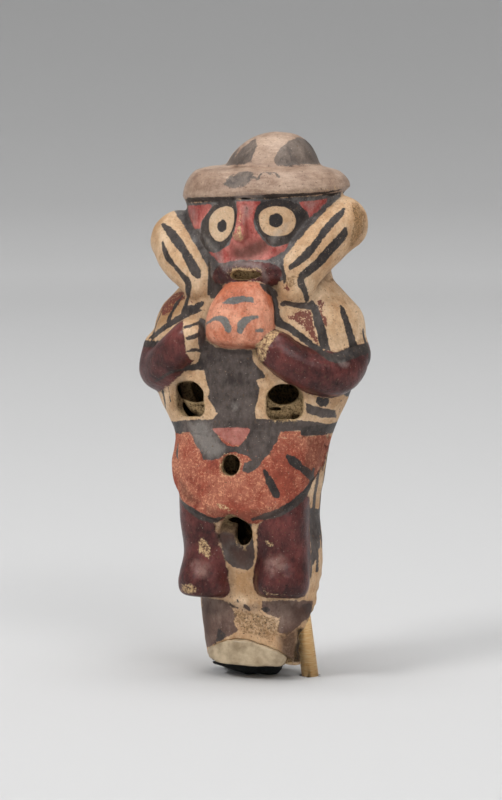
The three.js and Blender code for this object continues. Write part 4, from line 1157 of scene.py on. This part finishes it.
def rod(sides=64):
    """The display post, cut level at the floor."""
    way = np.array([POST["lean"], 0, 1]) / math.hypot(POST["lean"], 1)
    across = np.array([way[2], 0, -way[0]])
    foot = np.array([*POST["foot"], 0.0])
    end = BLOCK_LOW_Z - SEAT_GAP
    angles = 2 * math.pi * np.arange(sides) / sides
    ring = np.cos(angles)[:, None] * across + np.sin(angles)[:, None] * np.array([0.0, 1.0, 0.0])
    base = foot + POST["radius"] * ring
    base = base - way * (base[:, 2:] / way[2])
    shoulder = foot + POST["radius"] * ring + way * (end - POST["chamfer"])
    tip = foot + (POST["radius"] - POST["chamfer"]) * ring + way * end
    points = np.vstack([foot, base, shoulder, tip, foot + way * end])
    last = len(points) - 1
    faces = []
    for i in range(sides):
        j = (i + 1) % sides
        faces.append((0, 1 + j, 1 + i))
        for r in (1, 1 + sides):
            faces += [(r + i, r + j, r + sides + j), (r + i, r + sides + j, r + sides + i)]
        faces.append((last, 1 + 2 * sides + i, 1 + 2 * sides + j))
    return add_mesh("display_post_rod", points, np.array(faces, np.int32))


mount_pieces = {"display_post": rod(), **{name: fired(name, field)[0] for name, field in loose.items()}}

# ---------------------------------------------------------------- materials


def linear(r, g, b):
    """A colour as read on screen, 0 to 255, as the shader wants it."""
    def one(v):
        v = v / 255
        return v / 12.92 if v <= 0.04045 else ((v + 0.055) / 1.055) ** 2.4
    return (one(r), one(g), one(b), 1.0)


class Shader:
    """A material's nodes, made by short calls."""

    def __init__(self, name):
        self.material = bpy.data.materials.new(name)
        self.material.use_nodes = True
        self.tree = self.material.node_tree
        self.tree.nodes.clear()
        self.output = self.add("ShaderNodeOutputMaterial")
        where = self.add("ShaderNodeTexCoord")
        self.millimetres = self.add("ShaderNodeVectorMath", {0: where.outputs["Object"], 1: (1000, 1000, 1000)},
                                    operation="MULTIPLY").outputs[0]

    def add(self, kind, inputs=None, **settings):
        node = self.tree.nodes.new(kind)
        for key, value in settings.items():
            setattr(node, key, value)
        for key, value in (inputs or {}).items():
            if isinstance(value, bpy.types.NodeSocket):
                self.tree.links.new(value, node.inputs[key])
            else:
                node.inputs[key].default_value = value
        return node

    def math(self, operation, *values, clamp=False):
        return self.add("ShaderNodeMath", dict(enumerate(values)), operation=operation, use_clamp=clamp).outputs[0]

    def times(self, a, b):
        return self.math("MULTIPLY", a, b)

    def scaled(self, value, by, more):
        """value * by + more"""
        return self.math("MULTIPLY_ADD", value, by, more)

    def noise(self, scale, detail=3.0, roughness=0.55, stretch=None, offset=(0, 0, 0)):
        vector = self.millimetres
        if stretch or offset != (0, 0, 0):
            place = {"Vector": vector, "Scale": stretch or (1, 1, 1), "Location": offset}
            vector = self.add("ShaderNodeMapping", place).outputs[0]
        inputs = {"Vector": vector, "Scale": scale, "Detail": detail, "Roughness": roughness}
        return self.add("ShaderNodeTexNoise", inputs).outputs["Fac"]

    def ramp(self, value, low, high, out_low=0.0, out_high=1.0):
        inputs = {"Value": value, "From Min": low, "From Max": high, "To Min": out_low, "To Max": out_high}
        return self.add("ShaderNodeMapRange", inputs, clamp=True).outputs[0]

    def attribute(self, name):
        return self.add("ShaderNodeAttribute", attribute_name=name).outputs["Fac"]

    def mix(self, amount, a, b, blend="MIX"):
        """Colours mixed by amount."""
        return self.add("ShaderNodeMix", {0: amount, 6: a, 7: b}, data_type="RGBA", blend_type=blend).outputs[2]

    def blend(self, amount, a, b):
        """Numbers mixed by amount."""
        return self.scaled(amount, self.math("SUBTRACT", b, a), a)

    def finished(self, kind, inputs):
        """The material, with a last node that gives its surface."""
        self.tree.links.new(self.add(kind, inputs).outputs[0], self.output.inputs["Surface"])
        return self.material


def painted_clay():
    s = Shader("slip_painted_clay")
    edge = s.noise(0.9, 3, 0.6)
    fine = s.noise(3.0, 4, 0.7)
    cloud = s.noise(0.14, 3, 0.55, offset=(7, 3, 1))
    mottle = s.noise(0.5, 5, 0.65, offset=(1, 9, 4))
    speck = s.noise(2.3, 2, 0.5, offset=(4, 4, 9))
    grain = s.noise(2.0, 5, 0.8, offset=(8, 1, 6))
    brush = s.noise(0.9, 4, 0.65, stretch=(1.2, 1.2, 0.7), offset=(2, 5, 5))
    swept = s.noise(0.8, 4, 0.65, stretch=(0.35, 0.35, 2.4), offset=(5, 5, 2))
    wobble = s.math("ADD", s.scaled(edge, 0.7, -0.35), s.scaled(fine, 0.26, -0.13))
    clot = s.noise(2.0, 3, 0.75, offset=(6, 2, 3))
    chips = s.ramp(s.scaled(mottle, 0.5, fine), 0.94, 1.0)

    def painted(layer, soft=0.08, rough=1.0):
        """1 where a layer of slip lies, with a brushed edge."""
        return s.ramp(s.scaled(wobble, rough, s.attribute(layer)), soft, -soft)

    def soft_patch(layer, soft, low, high, noise=None):
        """1 in the grains of a patch that fades out at its edge."""
        amount = s.ramp(s.attribute(layer), soft, -soft)
        return s.ramp(s.scaled(amount, 0.5, noise or grain), low + 0.5, high + 0.5)

    def slip(dark, mid, light, strokes=brush):
        """A slip's colour, uneven as it was brushed on."""
        base = s.mix(s.ramp(mottle, 0.34, 0.62), linear(*dark), linear(*mid))
        return s.mix(s.ramp(s.scaled(strokes, 0.6, cloud), 0.70, 1.0, 0.0, 0.9), base, linear(*light))

    def lay(amount, tint, strength=1.0):
        """Lays a colour over what is there."""
        nonlocal colour
        colour = s.mix(amount if strength == 1 else s.times(amount, strength), colour, tint)

    # Bare cream clay with brown stains, and painted shade on the outer side of the left roll and between the legs, then
    # the slips
    stain = s.ramp(s.scaled(mottle, 1.2, s.times(s.attribute("stain"), -0.8)), 0.3, 1.4, 0, 0.75)
    colour = s.mix(stain, slip(*CREAM), linear(162, 120, 76))
    rough = 0.6
    for layer, (dark, mid, light, shine) in SLIPS.items():
        mask = painted(layer, rough=EDGE_WOBBLE.get(layer, 1.0))
        if layer in CHIPPED:
            mask = s.times(mask, s.scaled(chips, -0.7, 1.0))
        lay(mask, slip(dark, mid, light, swept if layer == "buff" else brush))
        rough = s.blend(mask, rough, shine)
        if layer == "apron_red":
            # Coarse worn slip with grains of cream clay and dark pores
            pore = s.ramp(s.noise(2.6, 4, 0.8, offset=(3, 3, 5)), 0.40, 0.30)
            lay(s.times(mask, s.ramp(s.scaled(cloud, 0.35, grain), 0.70, 0.80)), linear(222, 158, 122), 0.75)
            lay(s.times(mask, pore), linear(86, 34, 26), 0.7)
        if layer == "panel":
            lay(soft_patch("maroon_worn", 0.6, 0.395, 0.43, clot), linear(104, 37, 34), 0.9)

    # A pale film, partly real and partly a painted highlight, then painted highlights on the shins, grains of clay and
    # pores, each in its patch
    lay(s.ramp(s.scaled(brush, 0.9, s.times(s.attribute("haze"), -0.52)), 0.38, 1.05, 0, 0.44), linear(160, 154, 147))
    # Painted highlights: pale pink on the shins
    rubbed = s.ramp(s.scaled(cloud, 2.8, s.attribute("rubbed")), 1.45, 0.2, 0.0, 0.42)
    lay(rubbed, s.mix(s.ramp(mottle, 0.4, 0.6), linear(120, 74, 67), linear(172, 138, 126)))
    lay(soft_patch("grains", 0.6, 0.42, 0.54), linear(112, 84, 50), 0.75)
    lay(soft_patch("pits", 0.8, 0.60, 0.66, speck), linear(52, 38, 28), 0.9)
    # Bare clay in patches and along sharp ridges, then dark and pale specks
    ridge = s.ramp(s.scaled(s.math("SUBTRACT", grain, 0.5), 0.5, s.attribute("ridge")), 0.15, 0.23)
    bare = s.math("MAXIMUM", soft_patch("bare", 0.6, 0.41, 0.50), ridge, clamp=True)
    lay(bare, s.mix(s.ramp(grain, 0.4, 0.6), linear(152, 120, 82), linear(216, 184, 140)), 0.9)
    rough = s.blend(bare, rough, 0.85)
    lay(s.ramp(speck, 0.645, 0.70), linear(96, 72, 50), 0.6)
    lay(s.ramp(s.noise(3.4, 2, 0.6, offset=(9, 2, 2)), 0.70, 0.74), linear(214, 200, 184), 0.55)
    # The clay of the walls and the inside, painted shade and grime in patches, and painted shade in the dark hollows
    raw = s.math("MAXIMUM", s.ramp(s.attribute("within"), -0.30, -0.55), painted("inside", 0.1), clamp=True)
    lay(raw, s.mix(s.ramp(grain, 0.38, 0.56), linear(84, 64, 38), linear(206, 176, 130)))
    # Painted shade and grime: dark brown laid in patches, as painted shade in hollows and on sides turned from the
    # light, and as grime on the stump
    lay(s.ramp(s.scaled(mottle, 1.2, s.times(s.attribute("shade"), -0.55)), 0.38, 1.3, 0, 0.8), linear(70, 44, 34))
    # Painted shade: dark brown in the hollow behind the post and down the crotch hole's wall
    soot = painted("soot", 0.25, 1.2)
    lay(soot, s.mix(s.ramp(grain, 0.4, 0.62), linear(34, 24, 14), linear(84, 62, 36)))
    rough = s.blend(s.math("MAXIMUM", raw, soot), rough, 0.9)
    # Fine grain over all, in random darker and lighter flecks, and painted shade darkening the hollows and creases
    shade = s.ramp(s.scaled(fine, 0.5, s.times(grain, 0.5)), 0.36, 0.64, 0.80, 1.14)
    colour = s.mix(1.0, colour, s.add("ShaderNodeCombineXYZ", {0: shade, 1: shade, 2: shade}).outputs[0], "MULTIPLY")
    crevice_shade = s.ramp(s.scaled(mottle, 0.5, s.attribute("deep")), 0.0, -0.75, 0.0, 0.72)
    lay(s.times(crevice_shade, s.scaled(raw, -0.55, 1.0)), linear(52, 38, 28))

    coarse = s.math("MAXIMUM", s.times(painted("apron_red"), 1.4), s.times(bare, 1.2))
    height = s.math("ADD", s.math("ADD", s.times(fine, 0.35), s.times(mottle, 0.8)), s.times(grain, coarse))
    bump = s.add("ShaderNodeBump", {"Strength": 0.5, "Distance": 0.0003, "Height": height})
    rough = s.math("ADD", rough, s.scaled(grain, 0.3, -0.15), clamp=True)
    inputs = {"Base Color": colour, "Roughness": rough, "Normal": bump.outputs[0], "Specular IOR Level": 0.32}
    return s.finished("ShaderNodeBsdfPrincipled", inputs)


def plain(name, dark, light, scale, roughness, metal, bump, stretch=None):
    """A material of one grain, whose colour and shine both vary with it."""
    s = Shader(name)
    grain = s.noise(scale, 5, 0.65, stretch=stretch)
    colour = s.mix(s.ramp(grain, 0.35, 0.65), linear(*dark), linear(*light))
    relief = s.add("ShaderNodeBump", {"Strength": bump, "Distance": 0.0002, "Height": grain})
    rough = s.ramp(grain, 0.3, 0.7, roughness - 0.08, roughness + 0.08)
    inputs = {"Base Color": colour, "Roughness": rough, "Metallic": metal, "Normal": relief.outputs[0]}
    return s.finished("ShaderNodeBsdfPrincipled", inputs)


def dress(piece, name, material, body):
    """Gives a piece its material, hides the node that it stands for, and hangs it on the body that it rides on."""
    piece.data.materials.append(material)
    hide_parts(name)
    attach(piece, body)


clay = painted_clay()
for name, piece in pieces.items():
    dress(piece, name, clay, "whistle")
brass = plain("brushed_brass", (236, 180, 112), (255, 222, 168), 0.9, 0.34, 0.7, 0.16, (0.5, 0.5, 7))
black_foam = plain("black_foam", (9, 10, 10), (30, 34, 35), 2.6, 0.92, 0.0, 0.9)
wax_fill = plain("wax_fill", (146, 126, 98), (196, 176, 146), 0.35, 0.4, 0.0, 0.3)
dress(mount_pieces["display_post"], "display_post", brass, "display_mount")
dress(mount_pieces["foam_wedge"], "foam_wedge", black_foam, "display_mount")
dress(mount_pieces["foot_fill"], "foot_fill", wax_fill, "whistle")

# ---------------------------------------------------------------- camera, floor and light

shift = Vector(SHIFT * MM)
right, top, eye = Vector(TO_RIGHT), Vector(TO_TOP), Vector(TO_EYE)
IMAGE = (502, 800)
SENSOR = 36.0
off_right = (IMAGE[0] / 2 - CHART_AT[0]) * CHART_SCALE
off_top = (CHART_AT[1] - IMAGE[1] / 2) * CHART_SCALE
target = shift + (Vector(CHART_MIDDLE) + right * off_right + top * off_top) * MM
camera_data = bpy.data.cameras.new("camera")
camera_data.sensor_width = SENSOR
camera_data.lens = SENSOR * CHART_AWAY / (IMAGE[1] * CHART_SCALE)
camera_data.clip_start = 0.01
camera_data.clip_end = 20
camera = bpy.data.objects.new("camera", camera_data)
camera.location = target + eye * CHART_AWAY * MM
camera.rotation_euler = (target - camera.location).to_track_quat("-Z", "Y").to_euler()
bpy.context.scene.collection.objects.link(camera)
bpy.context.scene.camera = camera

# The paper's tone by how far back it lies, in metres: it falls off towards the back as the photograph's does, a painted
# shade standing in for the light falling off
PAPER_FALLOFF_SHADE = [
    (0.0, 0.625), (0.2, 0.615), (0.4, 0.60), (0.64, 0.60), (1.1, 0.606), (1.36, 0.474), (1.62, 0.415), (1.82, 0.385),
    (2.0, 0.366),
]
PAPER_REACH = 2.0
FLOOR_HALF = 1.0
COVE = 0.6
WALL_TOP = 1.6


def sweep(turns=96):
    """A round floor that curves up into a low wall, far from the object on every side."""
    profile = [(0.3, 0.0), (0.6, 0.0), (0.9, 0.0), (FLOOR_HALF, 0.0)]
    profile += [(FLOOR_HALF + COVE * math.sin(a), COVE - COVE * math.cos(a)) for a in np.linspace(0.1, math.pi / 2, 14)]
    profile += [(FLOOR_HALF + COVE, 0.9), (FLOOR_HALF + COVE, WALL_TOP)]
    points = [(r * math.cos(2 * math.pi * i / turns), r * math.sin(2 * math.pi * i / turns), z)
              for r, z in profile for i in range(turns)]
    points.append((0, 0, 0))
    faces = [(len(points) - 1, i, (i + 1) % turns) for i in range(turns)]
    for ring in range(len(profile) - 1):
        for i in range(turns):
            a, b = ring * turns + i, ring * turns + (i + 1) % turns
            faces.append((a, a + turns, b + turns, b))
    mesh = bpy.data.meshes.new("studio_sweep")
    mesh.from_pydata(points, [], faces)
    mesh.polygons.foreach_set("use_smooth", [True] * len(mesh.polygons))
    out = bpy.data.objects.new("studio_sweep", mesh)
    bpy.context.scene.collection.objects.link(out)
    return out


floor = sweep()
s = Shader("paper_sweep")
place = s.add("ShaderNodeTexCoord").outputs["Object"]
apart = s.add("ShaderNodeSeparateXYZ", {0: place})
flat = s.math("SQRT", s.math("ADD", s.math("POWER", apart.outputs[0], 2.0), s.math("POWER", apart.outputs[1], 2.0)))
back = s.scaled(apart.outputs[2], 4.0, flat)
tones = s.add("ShaderNodeValToRGB", {"Fac": s.times(back, 1 / PAPER_REACH)})
while len(tones.color_ramp.elements) < len(PAPER_FALLOFF_SHADE):
    tones.color_ramp.elements.new(1.0)
for element, (at, tone) in zip(tones.color_ramp.elements, PAPER_FALLOFF_SHADE):
    element.position = at / PAPER_REACH
    element.color = (tone, tone, tone, 1)
# Dark specks round the foot of the post, where the real one goes into the board
post_at = tuple(float(v) for v in (SHIFT[:2] + POST["foot"]) * MM) + (0.0,)
from_post = s.add("ShaderNodeVectorMath", {0: place, 1: post_at}, operation="DISTANCE").outputs["Value"]
rim = s.times(s.ramp(from_post, 0.0022, 0.0019), s.ramp(s.noise(1.4, 2, 0.5), 0.5, 0.56))
paper = s.mix(rim, tones.outputs[0], (0.03, 0.03, 0.03, 1))
floor.data.materials.append(s.finished("ShaderNodeBsdfDiffuse", {"Color": paper}))


def lamp(name, place, aim, size, watts):
    """A white lamp of an oblong face."""
    data = bpy.data.lights.new(name, "AREA")
    data.shape = "RECTANGLE"
    data.size, data.size_y = size
    data.energy = watts
    out = bpy.data.objects.new(name, data)
    out.location = place
    out.rotation_euler = (Vector(aim) - Vector(place)).to_track_quat("-Z", "Y").to_euler()
    bpy.context.scene.collection.objects.link(out)


lamp("key", (-0.95, -1.3, 1.15), (0, 0, 0.05), (0.6, 0.5), 34.0)
lamp("right", (1.1, -1.2, 1.0), (0, 0, 0.05), (1.0, 0.8), 28.0)
lamp("top", (0.1, -0.1, 1.9), (0, 0.1, 0.0), (1.2, 0.9), 16.0)
world = bpy.data.worlds.new("studio")
world.use_nodes = True
sky = world.node_tree.nodes["Background"]
sky.inputs["Color"].default_value = (1, 1, 1, 1)
sky.inputs["Strength"].default_value = 0.45
bpy.context.scene.world = world
bpy.context.scene.view_settings.view_transform = "Standard"
